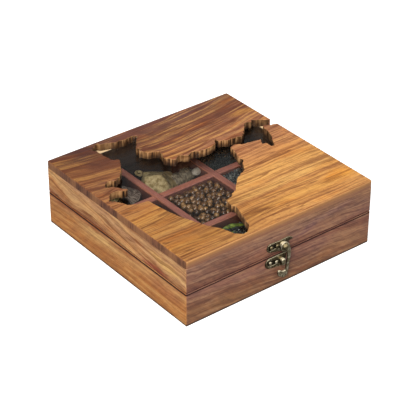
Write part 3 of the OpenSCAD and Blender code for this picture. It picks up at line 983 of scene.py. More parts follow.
LID_SIDE_WOOD = WoodFinish(
    name="lid_side_rosewood",
    grain=Axis.Y,
    across=Axis.Z,
    bands=(
        (30, "A06848"), (35, "BC8A5A"), (41, "C08E62"), (46, "B88A5E"), (51, "C0906A"), (58, "BC8C62"),
        (66, "A87C58"),
    ),
    patches=(
        Patch(-56, 36, 30, 4.5, "9C4434", 0.85, -0.02),
        Patch(-72, 46, 34, 6, "E4B66E", 0.7, 0.10),
        Patch(-10, 52, 40, 4, "D8AC78", 0.5, -0.05),
        Patch(-30, 48, 34, 3, "9A7050", 0.5, -0.25),
        Patch(60, 44, 46, 12, "A87A58", 0.4),
        Patch(86, 35, 4.0, 3.0, "4A1C14", 0.9),
        Patch(10, 40, 26, 3, "A87250", 0.5, -0.2),
    ),
    # Rim: painted shade along the lid's foot, in the seam above the base.
    rims=(Rim(33.8, 34.8, "330E08", 0.92),),
    bare_from=57.1,
    shade="6A3418",
    glow="EFC488",
    streaks=0.66,
    lines=0.6,
    sway=8.0,
    lean=-0.10,
    offset=5.0,
    dark_inside_from=92.5,
)

BASE_SIDE_WOOD = WoodFinish(
    name="base_side_rosewood",
    grain=Axis.Y,
    across=Axis.Z,
    bands=(
        (-2, "A87242"), (5, "B87C46"), (12, "B67844"), (18, "B87E4C"), (24, "BE8A58"), (30, "B07850"),
        (35, "925838"),
    ),
    patches=(
        Patch(20, 24, 44, 8, "D8AC72", 0.75, -0.05),
        Patch(-70, 22, 34, 9, "A86A48", 0.5),
        Patch(30, 16, 60, 4, "C08C54", 0.4),
    ),
    # Rims: painted shade along the top, in the seam under the lid, and a dark line along the foot.
    rims=(Rim(31.2, 30.2, "280A06", 0.98), Rim(1.7, 2.5, "22140C", 0.85)),
    shade="7A3E18",
    glow="EFC07C",
    streaks=0.50,
    lines=0.35,
    sway=4.5,
    lean=0.03,
    offset=17.0,
    dark_inside_from=92.5,
)

# Painted shade: the divider tones run darker towards the bottom, and their rims darken the upright sides
# below the top edge, for the shade inside the compartments.
DIVIDER_BANDS = ((0, "4A2620"), (14, "5E332B"), (28, "7E4A40"), (34, "A26458"), (36, "A66A5E"))

LONG_DIVIDER_WOOD = WoodFinish(
    name="long_divider_wood", grain=Axis.Y, across=Axis.Z, bands=DIVIDER_BANDS,
    rims=(Rim(33.4, 34.6, "1C0C08", 0.62),), shade="6A4038", glow="C89A88",
    streaks=0.3, lines=0.1, sway=2.0, offset=23.0, roughness=0.6, coat=0.0,
)

CROSS_DIVIDER_WOOD = WoodFinish(
    name="cross_divider_wood", grain=Axis.X, across=Axis.Z, bands=DIVIDER_BANDS,
    rims=(Rim(33.4, 34.6, "1C0C08", 0.55),), shade="6A4038", glow="C89A88",
    streaks=0.3, lines=0.1, sway=2.0, offset=29.0, roughness=0.6, coat=0.0,
)

BOTTOM_WOOD = WoodFinish(
    name="bottom_board_wood", grain=Axis.X, across=Axis.Y,
    bands=((-100, "3A2A22"), (-40, "45332A"), (30, "3E2E26"), (100, "43322A")), shade="241A15", glow="6A5242",
    streaks=0.3, lines=0.1, offset=31.0, roughness=0.65, coat=0.0,
)


# Sub-assemblies


@dataclass
class Case:
    """The wooden walls, dividers and bottom board, which are shown as the frame made them."""

    nodes: dict[str, bpy.types.Object]

    def dress_all(self) -> None:
        """Gives each board its own finish."""
        front_lid, side_lid = LID_FRONT_WOOD.material(), LID_SIDE_WOOD.material()
        front_base, side_base = BASE_FRONT_WOOD.material(), BASE_SIDE_WOOD.material()
        for side in ("front", "back"):
            dress(self.nodes[f"lid_{side}_wall"], front_lid)
            dress(self.nodes[f"base_{side}_wall"], front_base)
        for side in ("left", "right"):
            dress(self.nodes[f"lid_{side}_wall"], side_lid)
            dress(self.nodes[f"base_{side}_wall"], side_base)
        long_wood, cross_wood = LONG_DIVIDER_WOOD.material(), CROSS_DIVIDER_WOOD.material()
        for name in ("divider_left", "divider_right"):
            dress(self.nodes[name], long_wood)
        for name in ("divider_front", "divider_back"):
            dress(self.nodes[name], cross_wood)
        dress(self.nodes["base_bottom_panel"], BOTTOM_WOOD.material())
        log.info("case: eight walls, four dividers and the bottom board dressed")


@dataclass
class TopBoard:
    """The lid's thick board, with small saw teeth along its window edge."""

    nodes: dict[str, bpy.types.Object]
    plan_r: float = 1.7
    top_r: float = 1.3
    step: float = 1.9
    tooth: float = 0.95
    worn: float = 0.3
    seed: int = 12

    def window_edge(self) -> list[Vector]:
        """Reads the window's outline off the frame's board.

        Returns:
            The outline's points in millimetres, from one end of its open side to the other.
        """
        source = merged_copy(self.nodes["lid_top_panel"], "outline_source")
        bm = bmesh.new()
        bm.from_mesh(source.data)
        bm.normal_update()
        top = max(v.co.z for v in bm.verts)
        links: dict[int, list[int]] = {}
        points = {v.index: Vector((v.co.x, v.co.y, 0.0)) / MM for v in bm.verts}
        for edge in bm.edges:
            level = all(abs(v.co.z - top) < 0.01 * MM for v in edge.verts)
            upright = any(abs(f.normal.z) < 0.02 for f in edge.link_faces)
            if level and upright:
                a, b = (v.index for v in edge.verts)
                links.setdefault(a, []).append(b)
                links.setdefault(b, []).append(a)
        bm.free()
        bpy.data.objects.remove(source)
        start = max((i for i, near in links.items() if len(near) == 1), key=lambda i: points[i].y)
        chain, last = [start], -1
        while True:
            onward = [i for i in links[chain[-1]] if i != last]
            if not onward or (len(chain) > 1 and onward[0] == start):
                break
            last = chain[-1]
            chain.append(onward[0])
        return [points[i] for i in chain]

    def toothed_edge(self) -> list[Vector]:
        """Adds the saw's small teeth to the outline, and runs its open ends out past the board."""
        draw = random.Random(self.seed)
        plain = self.window_edge()
        out = Vector((6.0, 0.0, 0.0))
        toothed = [plain[0] + out]
        for here, there in zip(plain, plain[1:]):
            way = there - here
            count = max(1, round(way.length / self.step))
            side = Vector((way.y, -way.x, 0.0)).normalized()
            toothed.append(here.copy())
            for k in range(1, count):
                middle = here + way * (k / count)
                toothed.append(middle + side * draw.uniform(-1, 1) * self.tooth_at(middle))
        toothed.append(plain[-1].copy())
        toothed.append(plain[-1] + out)
        return toothed

    def tooth_at(self, point: Vector) -> float:
        """Gives the teeth's size: large along the north, small along the smooth south-west coast."""
        north = min(1.0, max(0.0, (point.y + 20) / 40))
        east = 1.0 if point.x > -15 else 0.25
        return self.tooth * (0.85 * north + (1 - north) * 0.55 * east)

    def cutter(self, low: float, high: float) -> bpy.types.Object:
        """Makes the solid that the saw takes out, with its worn upper lip.

        Args:
            low: The board's underside, in millimetres.
            high: Its upper side.

        Returns:
            The solid as an object.
        """
        ring = self.toothed_edge()
        area = sum(a.x * b.y - b.x * a.y for a, b in zip(ring, ring[1:] + ring[:1]))
        if area < 0:
            ring.reverse()
        flared = offset_ring(ring, 2 * self.worn)
        levels = ((ring, low - 2), (ring, high - self.worn), (flared, high + self.worn))

        def build(bm: bmesh.types.BMesh) -> None:
            """Puts the shape into the mesh."""
            stack_rings(bm, [[(p + Vector((0, 0, z))) * MM for p in points] for points, z in levels])

        return link_mesh("window_cutter", build)

    def blank(self, name: str, low: Vector, high: Vector) -> bpy.types.Object:
        """Makes the whole board with rounded upper edges, before the window is sawn."""

        def rounded(inset: float, z: float) -> list[Vector]:
            """Gives one ring with round corners at a height."""
            radius = self.plan_r - inset
            corners = ((high.x, high.y, 0), (low.x, high.y, 90), (low.x, low.y, 180), (high.x, low.y, 270))
            points = []
            for cx, cy, start in corners:
                mx = cx - math.copysign(self.plan_r, cx)
                my = cy - math.copysign(self.plan_r, cy)
                for k in range(6):
                    a = math.radians(start + 18 * k)
                    points.append(Vector((mx + radius * math.cos(a), my + radius * math.sin(a), z)) * MM)
            return points

        arcs = [math.radians(a) for a in (0, 18, 36, 54, 72, 90)]
        levels = [(0.0, low.z)]
        levels += [(self.top_r * (1 - math.cos(a)), high.z - self.top_r * (1 - math.sin(a))) for a in arcs]

        def build(bm: bmesh.types.BMesh) -> None:
            """Puts the shape into the mesh."""
            stack_rings(bm, [rounded(inset, z) for inset, z in levels])

        return link_mesh(name, build)

    def make(self) -> bpy.types.Object:
        """Builds the board, saws its window and dresses it."""
        low, high = (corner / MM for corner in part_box("lid_top_panel"))
        board = self.blank("sawn_top_board", low, high)
        carve(board, self.cutter(low.z, high.z))
        smooth(board, 24)
        dress(board, TOP_WOOD.material())
        return seat(board, "lid", "top_wood", "lid_top_panel")


@dataclass
class Window:
    """The clear pane under the sawn board."""

    nodes: dict[str, bpy.types.Object]

    def dress_all(self) -> None:
        """Gives the pane its clear finish."""
        dress(self.nodes["window_pane"], PaneFinish("clear_pane").material())
        log.info("window: pane dressed")


@dataclass
class Fasteners:
    """Round heads for the latch's pins and the hinges' screws, one mesh for each group."""

    nodes: dict[str, bpy.types.Object]
    scatter: Scatter

    @staticmethod
    def head(name: str, radius: float, height: float, shank_r: float, length: float,
             slot: float) -> bpy.types.Object:
        """Makes a domed head and its shank, standing on the origin and looking along +Y.

        Args:
            name: The template's name.
            radius: The head's radius, in millimetres.
            height: The head's height.
            shank_r: The shank's radius.
            length: The shank's length.
            slot: The screwdriver slot's width, or 0 for a plain head.

        Returns:
            The template.
        """
        profile = [(shank_r * 0.4, -length), (shank_r, -length + 1.2), (shank_r, 0.0), (radius, 0.0)]
        steps = 6
        for k in range(steps):
            a = math.pi / 2 * k / steps
            profile.append((radius * math.cos(a), 0.18 + (height - 0.18) * math.sin(a)))
        profile.append((radius * 0.08, height))

        def build(bm: bmesh.types.BMesh) -> None:
            """Puts the shape into the mesh."""
            turns = [2 * math.pi * k / 24 for k in range(24)]
            rings = [[Vector((r * math.cos(t), y, r * math.sin(t))) * MM for t in turns] for r, y in profile]
            stack_rings(bm, rings)

        made = link_mesh(name, build)
        if slot:
            def groove(bm: bmesh.types.BMesh) -> None:
                """Makes the block that cuts the driver slot."""
                bmesh.ops.create_cube(bm, size=1.0)
                for vert in bm.verts:
                    x, y, z = vert.co
                    vert.co = Vector((x * 3 * radius, height + y * height, z * slot)) * MM

            carve(made, link_mesh(name + "_groove", groove))
        return smooth(made, 40)

    def row(self, name: str, node: str, head: bpy.types.Object, body: str, turn: Sequence[float],
            finish: bpy.types.Material) -> bpy.types.Object:
        """Sets a head at the place of each of a node's solids.

        Args:
            name: The new piece's name.
            node: The plain node that it stands for.
            head: The head that is repeated.
            body: The body that it rides on.
            turn: How the head is turned to look out of the box, in radians.
            finish: The heads' material.

        Returns:
            The finished piece.
        """
        spots = self.spots(node, turn[2] != 0)

        def build(bm: bmesh.types.BMesh) -> None:
            """Puts the shape into the mesh."""
            for spot in spots:
                bm.verts.new(spot)

        piece = link_mesh(name, build)
        self.scatter.run(piece, self.scatter.heads, {"Head": head, "Turn": turn, "Finish": finish})
        return seat(piece, body, "aged_brass", node)

    def spots(self, node: str, looks_front: bool) -> list[Vector]:
        """Finds where each solid of a node stands: the middle of its head's flat underside."""
        bm = bmesh.new()
        bm.from_mesh(self.nodes[node].data)
        bmesh.ops.remove_doubles(bm, verts=bm.verts, dist=0.001 * MM)
        left = set(bm.verts)
        found = []
        while left:
            island = [left.pop()]
            for vert in island:
                for edge in vert.link_edges:
                    other = edge.other_vert(vert)
                    if other in left:
                        left.remove(other)
                        island.append(other)
            xs, zs = ([v.co[k] for v in island] for k in (0, 2))
            wide = max(xs) - min(xs)
            rim = [v.co.y for v in island if abs(v.co.x - min(xs)) < 0.02 * wide]
            seat_y = max(rim) if looks_front else min(rim)
            found.append(Vector(((min(xs) + max(xs)) / 2, seat_y, (min(zs) + max(zs)) / 2)))
        bm.free()
        return sorted(found, key=lambda p: (round(p.x, 5), p.z))

    def make(self, bright: bpy.types.Material, worn: bpy.types.Material) -> None:
        """Builds the pins and screws."""
        pin = self.head("pin_template", 1.7, 0.9, 0.6, 7.0, 0.0)
        screw = self.head("screw_template", 1.7, 0.75, 0.8, 8.0, 0.45)
        to_front, to_back = (0.0, 0.0, math.pi), (0.0, 0.0, 0.0)
        # A lit and a shaded copy of one brass: the base pins take the brighter one as painted highlight, the
        # lid pins the duller one as painted shade.
        self.row("latch_lid_pin_heads", "latch_lid_pins", pin, "lid", to_front, worn)
        self.row("latch_base_pin_heads", "latch_base_pins", pin, "base", to_front, bright)
        self.row("hinge_base_screw_heads", "hinge_base_screws", screw, "base", to_back, bright)
        self.row("hinge_lid_screw_heads", "hinge_lid_screws", screw, "lid", to_back, bright)
        for template in (pin, screw):
            bpy.data.objects.remove(template)


@dataclass
class Latch:
    """The antique brass swing-hook latch, with its edges rubbed round."""

    nodes: dict[str, bpy.types.Object]
    lobe_r: float = 3.0
    recess: float = 0.4

    def dish(self, centre: Vector, end: Vector, front: float) -> bpy.types.Object:
        """Makes the shallow hollow that leaves a raised rim round a plate's lobe.

        Args:
            centre: The lobe's middle, in millimetres.
            end: Where the hollow runs out.
            front: The plate's front, as a place along Y.

        Returns:
            The hollow as a cutter.
        """
        way = (end - centre).normalized()
        side = Vector((-way.z, 0.0, way.x))
        points = []
        for k in range(13):
            a = math.radians(90 + 15 * k)
            points.append(centre + way * self.lobe_r * math.cos(a) + side * self.lobe_r * math.sin(a))
        points += [end - side * self.lobe_r * 0.6, end + side * self.lobe_r * 0.6]
        levels = (front - 1.0, front + self.recess)

        def build(bm: bmesh.types.BMesh) -> None:
            """Puts the shape into the mesh."""
            stack_rings(bm, [[Vector((p.x, y, p.z)) * MM for p in points] for y in levels])

        return link_mesh("plate_hollow", build)

    def plate(self, node: str, name: str, body: str, centre: Vector, end: Vector,
              finish: bpy.types.Material) -> bpy.types.Object:
        """Builds one plate with a hollow lobe."""
        piece = merged_copy(self.nodes[node], name)
        front = round(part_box("latch_base_plate")[0].y / MM, 3)
        carve(piece, self.dish(centre, end, front))
        ease_edges(piece, 0.5, 3)
        dress(piece, finish)
        return seat(piece, body, "aged_brass", node)

    def rivet(self, finish: bpy.types.Material) -> bpy.types.Object:
        """Builds the pivot rivet: a collar with a smaller dome on it."""
        low, high = (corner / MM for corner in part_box("latch_pivot_rivet"))
        middle = (low + high) / 2
        wide = (high.x - low.x) / 2
        tip = low.y
        back = high.y
        profile = [
            (1.5, back), (1.5, tip + 1.95), (wide * 0.96, tip + 1.95), (wide, tip + 1.75), (wide, tip + 1.45),
            (wide * 0.93, tip + 1.2), (wide * 0.8, tip + 1.12), (wide * 0.74, tip + 1.0),
            (wide * 0.68, tip + 0.7),
            (wide * 0.55, tip + 0.34), (wide * 0.36, tip + 0.1), (wide * 0.12, tip),
        ]

        def build(bm: bmesh.types.BMesh) -> None:
            """Puts the shape into the mesh."""
            turns = [2 * math.pi * k / 32 for k in range(32)]
            rings = [
                [Vector((middle.x + r * math.cos(t), y, middle.z + r * math.sin(t))) * MM for t in turns]
                for r, y in profile
            ]
            stack_rings(bm, rings)

        piece = smooth(link_mesh("latch_rivet_head", build), 50)
        dress(piece, finish)
        return seat(piece, "lid", "aged_brass", "latch_pivot_rivet")

    def make(self, bright: bpy.types.Material, dark: bpy.types.Material, worn: bpy.types.Material) -> None:
        """Builds the whole latch."""
        pivot = (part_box("latch_pivot_rivet")[0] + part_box("latch_pivot_rivet")[1]) / 2 / MM
        pivot.y = 0.0
        lid_lobe = pivot + Vector((-12.5, 0, 1.9))
        base_lobe = pivot + Vector((-13.2, 0, -13.3))
        self.plate("latch_lid_plate", "latch_upper_plate", "lid", lid_lobe,
                   pivot + Vector((-5.2, 0, 1.6)), dark)
        self.plate("latch_base_plate", "latch_lower_plate", "base", base_lobe,
                   pivot + Vector((-4.4, 0, -14.6)), dark)
        hook = merged_copy(self.nodes["latch_hook"], "latch_swing_hook")
        ease_edges(hook, 0.42, 3)
        dress(hook, bright)
        seat(hook, "latch_hook", "aged_brass", "latch_hook")
        post = merged_copy(self.nodes["latch_catch_post"], "latch_post")
        ease_edges(post, 1.1, 4)
        dress(post, bright)
        seat(post, "base", "aged_brass", "latch_catch_post")
        self.rivet(worn)


@dataclass
class Hinges:
    """Two brass butt hinges at the back."""

    nodes: dict[str, bpy.types.Object]

    def make(self, bright: bpy.types.Material, dark: bpy.types.Material) -> None:
        """Rounds the leaves' edges and dresses leaves and pins."""
        for side in ("left", "right"):
            for body in ("base", "lid"):
                node = f"{side}_hinge_{body}_leaf"
                leaf = merged_copy(self.nodes[node], f"{side}_{body}_leaf_eased")
                ease_edges(leaf, 0.18, 2)
                dress(leaf, dark)
                seat(leaf, body, "aged_brass", node)
            dress(self.nodes[f"{side}_hinge_pin"], bright)
        log.info("hinges: two pins dressed")


@dataclass
class Spices:
    """What lies in the compartments, all riding on the base."""

    scatter: Scatter
    floor: float = 4.05
    pitch_x: float = 63.33
    pitch_y: float = 62.33
    cell_w: float = 56.0
    cell_d: float = 55.0
    draw: random.Random = field(default_factory=lambda: random.Random(5))

    def middle(self, cell: Cell) -> Vector:
        """Gives the middle of a compartment's floor, in millimetres."""
        return Vector((cell.value[0] * self.pitch_x, cell.value[1] * self.pitch_y, self.floor))

    def bed(self, name: str, cell: Cell, height: float, heap: float) -> bpy.types.Object:
        """Makes the closed heap under the top layers of seeds.

        Args:
            name: The piece's name.
            cell: The compartment.
            height: The heap's height at the compartment's walls, in millimetres.
            heap: How much higher it is in the middle.

        Returns:
            The heap as an object.
        """
        middle = self.middle(cell)
        steps = 14

        def build(bm: bmesh.types.BMesh) -> None:
            """Puts the shape into the mesh."""
            rows = []
            for j in range(steps + 1):
                row = []
                for i in range(steps + 1):
                    u, v = 2 * i / steps - 1, 2 * j / steps - 1
                    rise = height + heap * (1 - u * u) * (1 - v * v)
                    at = Vector((u * self.cell_w / 2, v * self.cell_d / 2, rise))
                    row.append(bm.verts.new((middle + at) * MM))
                rows.append(row)
            faces = [
                bm.faces.new((rows[j][i], rows[j][i + 1], rows[j + 1][i + 1], rows[j + 1][i]))
                for j in range(steps)
                for i in range(steps)
            ]
            made = bmesh.ops.extrude_face_region(bm, geom=faces)
            for vert in (g for g in made["geom"] if isinstance(g, bmesh.types.BMVert)):
                vert.co.z = self.floor * MM
            bmesh.ops.recalc_face_normals(bm, faces=bm.faces)

        return link_mesh(name, build)

    def seed_shape(self, segments: int, rings: int, radii: Sequence[float]) -> bpy.types.Object:
        """Makes the template of one seed from its three radii in millimetres."""

        def build(bm: bmesh.types.BMesh) -> None:
            """Puts the shape into the mesh."""
            ball(bm, segments, rings, lambda p: Vector([p[k] * radii[k] for k in range(3)]) * MM)

        made = link_mesh("seed_template", build)
        made.data.polygons.foreach_set("use_smooth", [True] * len(made.data.polygons))
        return made

    def heap_of_seeds(self, name: str, cell: Cell, radii: Sequence[float], height: float, heap: float,
                      spacing: float, finish: bpy.types.Material, slot: str, faces: tuple[int, int],
                      lie: float = 3.1) -> bpy.types.Object:
        """Fills a compartment with seeds.

        Args:
            name: The piece's name.
            cell: The compartment.
            radii: A seed's three radii, in millimetres.
            height: How high the seeds lie at the walls.
            heap: How much higher they lie in the middle.
            spacing: The distance between neighbours.
            finish: The seeds' material.
            slot: The record's material slot.
            faces: The seed's faces round and from pole to pole.
            lie: How far a seed may tip, in radians.

        Returns:
            The finished piece.
        """
        piece = self.bed(name, cell, height - 1.6 * spacing, heap)
        template = self.seed_shape(*faces, radii)
        columns = int((self.cell_w - 2 * max(radii)) / spacing + 0.6)
        rows = int((self.cell_d - 2 * max(radii)) / (spacing * 0.866) + 1)
        middle = (self.middle(cell) + Vector((0, 0, height))) * MM
        values = {
            "Seed Shape": template, "Columns": columns, "Rows": rows, "Spacing": spacing * MM,
            "Middle": tuple(middle), "Heap": heap * MM, "Jitter": 0.26 * spacing * MM, "Size Spread": 0.13,
            "Lie": lie, "Random Seed": len(name), "Finish": finish,
        }
        self.scatter.run(piece, self.scatter.seeds, values)
        bpy.data.objects.remove(template)
        return seat(piece, "base", slot)

    def lump(self, name: str, at: Sequence[float], size: Sequence[float], turn: Sequence[float],
             facets: int, rough: float, finish: bpy.types.Material, slot: str) -> bpy.types.Object:
        """Makes a broken lump with flat faces.

        Args:
            name: The piece's name.
            at: Its middle, in millimetres.
            size: Its three half sizes.
            turn: Its turn about X, Y and Z in degrees.
            facets: How many flat faces it has.
            rough: The depth of its surface, as a share of its size.
            finish: Its material.
            slot: The record's material slot.

        Returns:
            The finished piece.
        """
        cuts = []
        for _ in range(facets):
            way = Vector([self.draw.uniform(-1, 1) for _ in range(3)]).normalized()
            cuts.append((way, self.draw.uniform(0.55, 0.8)))
        put = place(at, turn)

        def shape(p: Vector) -> Vector:
            """Gives where a point of the ball goes."""
            for way, far in cuts:
                over = p.dot(way) - far
                if over > 0:
                    p = p - way * over * 0.92
            p = p * (1 + rough * noise.noise(p * 2.3) + 0.4 * rough * noise.noise(p * 6.1))
            return put(Vector([p[k] * size[k] for k in range(3)]))

        piece = link_mesh(name, lambda bm: ball(bm, 48, 32, shape))
        smooth(piece, 60)
        dress(piece, finish)
        return seat(piece, "base", slot)

    def ribbed(self, name: str, at: Sequence[float], size: Sequence[float], turn: Sequence[float], ribs: int,
               depth: float, finish: bpy.types.Material, slot: str) -> bpy.types.Object:
        """Makes an oval pod with ribs from end to end; its long way is Z before it is turned."""
        put = place(at, turn)

        def shape(p: Vector) -> Vector:
            """Gives where a point of the ball goes."""
            around = math.atan2(p.y, p.x)
            swell = 1 + depth * math.cos(ribs * around) * (1 - p.z * p.z)
            swell *= 1 + 0.05 * noise.noise(p * 3.0)
            pinch = 1 - 0.25 * abs(p.z) ** 3
            return put(Vector((p.x * size[0] * swell * pinch, p.y * size[1] * swell * pinch, p.z * size[2])))

        piece = link_mesh(name, lambda bm: ball(bm, 64, 24, shape))
        smooth(piece, 60)
        dress(piece, finish)
        return seat(piece, "base", slot)

    def ring(self, name: str, at: Sequence[float], radius: float, thick: float, turn: Sequence[float],
             finish: bpy.types.Material, slot: str) -> bpy.types.Object:
        """Makes a small uneven ring."""
        put = place(at, turn)

        def build(bm: bmesh.types.BMesh) -> None:
            """Puts the shape into the mesh."""
            count, sides = 40, 12
            rows = []
            for i in range(count):
                t = 2 * math.pi * i / count
                row = []
                for k in range(sides):
                    s = 2 * math.pi * k / sides
                    wide = thick * (1 + 0.25 * noise.noise(Vector((math.cos(t), math.sin(t), 0.4)) * 2))
                    r = radius + wide * math.cos(s)
                    row.append(bm.verts.new(put(Vector((r * math.cos(t), 0.85 * r * math.sin(t),
                                                        0.7 * wide * math.sin(s))))))
                rows.append(row)
            for i in range(count):
                for k in range(sides):
                    a, b = rows[i], rows[(i + 1) % count]
                    bm.faces.new((a[k], b[k], b[(k + 1) % sides], a[(k + 1) % sides]))
            bmesh.ops.recalc_face_normals(bm, faces=bm.faces)

        piece = smooth(link_mesh(name, build), 80)
        dress(piece, finish)
        return seat(piece, "base", slot)

    def curved_pod(self, name: str, points: Sequence[Sequence[float]], thick: float,
                   finish: bpy.types.Material, slot: str) -> bpy.types.Object:
        """Makes a bent pod with pointed ends.

        Args:
            name: The piece's name.
            points: Three points of its arc, in millimetres.
            thick: Its greatest half thickness.
            finish: Its material.
            slot: The record's material slot.

        Returns:
            The finished piece.
        """
        a, b, c = (Vector(p) for p in points)
        count, sides = 28, 16

        def build(bm: bmesh.types.BMesh) -> None:
            """Puts the shape into the mesh."""
            rings = []
            for i in range(count + 1):
                t = 0.02 + 0.96 * i / count
                at = a * (1 - t) ** 2 + b * 2 * t * (1 - t) + c * t * t
                way = ((b - a) * 2 * (1 - t) + (c - b) * 2 * t).normalized()
                side = way.cross(Vector((0, 0, 1))).normalized()
                up = side.cross(way)
                r = thick * math.sin(math.pi * t) ** 0.6 * (1 + 0.08 * math.sin(5 * math.pi * t))
                ring = []
                for k in range(sides):
                    s = 2 * math.pi * k / sides
                    ring.append((at + side * r * math.cos(s) + up * 0.75 * r * math.sin(s)) * MM)
                rings.append(ring)
            stack_rings(bm, rings)

        piece = smooth(link_mesh(name, build), 70)
        dress(piece, finish)
        return seat(piece, "base", slot)

    def leaf(self, name: str, at: Sequence[float], length: float, width: float, turn: Sequence[float],
             curl: float, ruffle: float, finish: bpy.types.Material, slot: str) -> bpy.types.Object:
        """Makes a dried leaf or husk: a thin curled sheet with a rib down its middle.

        Args:
            name: The piece's name.
            at: Its middle, in millimetres.
            length: Its length.
            width: Its greatest width.
            turn: Its turn about X, Y and Z in degrees.
            curl: How far it arches along its length.
            ruffle: The depth of its ripples.
            finish: Its material.
            slot: The record's material slot.

        Returns:
            The finished piece.
        """
        put = place(at, turn)
        count, across = 36, 14

        def build(bm: bmesh.types.BMesh) -> None:
            """Puts the shape into the mesh."""
            rows = []
            for i in range(count + 1):
                u = 2 * i / count - 1
                half = width / 2 * (1 - abs(u) ** 2.2) ** 0.8 + 0.15
                row = []
                for k in range(across + 1):
                    v = 2 * k / across - 1
                    dip = 0.18 * half * abs(v) + ruffle * math.sin(9 * u + 3 * v) * abs(v)
                    ripple = ruffle * noise.noise(Vector((u * 4, v * 3, len(name))))
                    rise = curl * (1 - u * u) + dip + ripple
                    row.append(bm.verts.new(put(Vector((u * length / 2, v * half, rise)))))
                rows.append(row)
            for i in range(count):
                for k in range(across):
                    bm.faces.new((rows[i][k], rows[i + 1][k], rows[i + 1][k + 1], rows[i][k + 1]))

        piece = link_mesh(name, build)
        thick = piece.modifiers.new("thickness", "SOLIDIFY")
        thick.thickness = 0.35 * MM
        smooth(settle(piece), 70)
        dress(piece, finish)
        return seat(piece, "base", slot)

    def make(self) -> None:
        """Fills the compartments that show through the window."""
        brown = SpiceFinish("allspice_skin", "24150A", "644020", "B2854E", 1.6, 0.32, 0.45, 0.1,
                            painted_shade=0.75).material()
        dark_seed = SpiceFinish("pepper_skin", "0E1010", "34383A", "8A8C86", 0.9, 0.5, 0.2, 0.08).material()
        # The dark fine seeds' tones are also lowered as painted shade under the window's north teeth.
        dark_leafy = SpiceFinish("tea_dark", "080A0A", "161C1A", "3E4440", 1.0, 0.6, 0.0, 0.1).material()
        cloves = SpiceFinish("clove_dark", "0C0604", "1E0E08", "3A2014", 1.0, 0.6, 0.0, 0.1).material()
        cream = SpiceFinish("ginger_skin", "8A7448", "CDB888", "F2E4BC", 4.5, 0.7, 0.0, 0.5).material()
        shell = SpiceFinish("pod_husk", "5E5242", "A0927A", "DCD0B8", 3.0, 0.6, 0.0, 0.3,
                            (0.5, 1.0, 1.0)).material()
        white = SpiceFinish("pale_nut", "A09486", "D0C6B8", "F0E8DC", 3.0, 0.6, 0.0, 0.2).material()
        green = SpiceFinish("green_pod_skin", "54681C", "9AB248", "EAF2A8", 3.5, 0.34, 0.5, 0.15).material()
        glossy = SpiceFinish("dark_berry_skin", "0A0A08", "1C1C14", "4A4A34", 2.0, 0.2, 0.7, 0.1).material()
        husk = SpiceFinish("grey_husk", "3E2C22", "9C8878", "F0E4D8", 2.4, 0.6, 0.0, 0.35,
                           (0.5, 2, 2)).material()
        olive = SpiceFinish("bay_leaf", "4A3C18", "8E7C46", "C8B478", 3.0, 0.5, 0.1, 0.2).material()

        self.heap_of_seeds("allspice_berries", Cell.MIDDLE, (2.95, 2.95, 2.8), 27.0, 2.6, 5.4, brown,
                           "dark_spice", (10, 7))
        self.heap_of_seeds("dark_small_seeds", Cell.RIGHT_MIDDLE, (1.3, 1.3, 1.9), 28.0, 2.0, 3.0, dark_seed,
                           "dark_spice", (6, 4))
        self.heap_of_seeds("dark_fine_seeds", Cell.RIGHT_BACK, (0.9, 0.9, 1.6), 27.0, 1.5, 2.5, dark_leafy,
                           "dark_spice", (6, 4))
        self.heap_of_seeds("black_seed_layer", Cell.MIDDLE_FRONT, (1.3, 1.3, 1.6), 22.0, 1.5, 3.1, dark_seed,
                           "dark_spice", (6, 4))
        self.heap_of_seeds("dark_clove_heads", Cell.LEFT_MIDDLE, (1.5, 1.5, 2.0), 27.0, 2.0, 3.5, cloves,
                           "dark_spice", (6, 4))

        self.lump("ginger_chunk", (-9, 61, 24), (20, 19, 13), (8, -12, 30), 9, 0.12, cream, "pale_spice")
        self.ring("ginger_slice_ring", (-13, 85, 25), 3.2, 1.6, (15, 10, 20), cream, "pale_spice")
        self.ribbed("grey_pod_one", (10, 60, 20), (8, 7, 11), (60, 20, 30), 9, 0.05, shell, "pale_spice")
        self.ribbed("grey_pod_two", (20, 57, 23), (8, 8, 11), (50, -20, -30), 13, 0.07, shell, "pale_spice")
        self.ribbed("pale_nut_piece", (26, 50, 29), (4.2, 3.4, 5), (70, 10, 60), 5, 0.04, white, "pale_spice")
        self.curved_pod("green_pod", ((-16, -38, 27), (-4, -36, 28.5), (7, -43, 27)), 2.3, green,
                        "green_spice")
        self.curved_pod("green_pod_small", ((-13, -47, 26.3), (-9, -44, 27), (-5, -49, 26.3)), 1.5, green,
                        "green_spice")
        berries = ((-3, -47, 28), (4, -50, 28), (-1, -55, 28), (7, -57, 28), (-9, -55, 28))
        for number, spot in enumerate(berries):
            self.ribbed(f"glossy_berry_{number + 1}", spot, (3.2, 3.2, 3.0), (20 * number, 15, 0), 4, 0.02,
                        glossy, "dark_spice")
        self.leaf("grey_husk_curl", (-45, 55, 28), 34, 17, (16, 5, 60), 3.0, 0.5, husk, "pale_spice")
        self.leaf("bay_leaf", (-62, 62, 24), 30, 12, (10, -10, 20), 2.0, 0.5, olive, "green_spice")
        self.lump("tan_chunk", (-58, 66, 22), (12, 9, 8), (0, 10, 40), 8, 0.1, cream, "pale_spice")


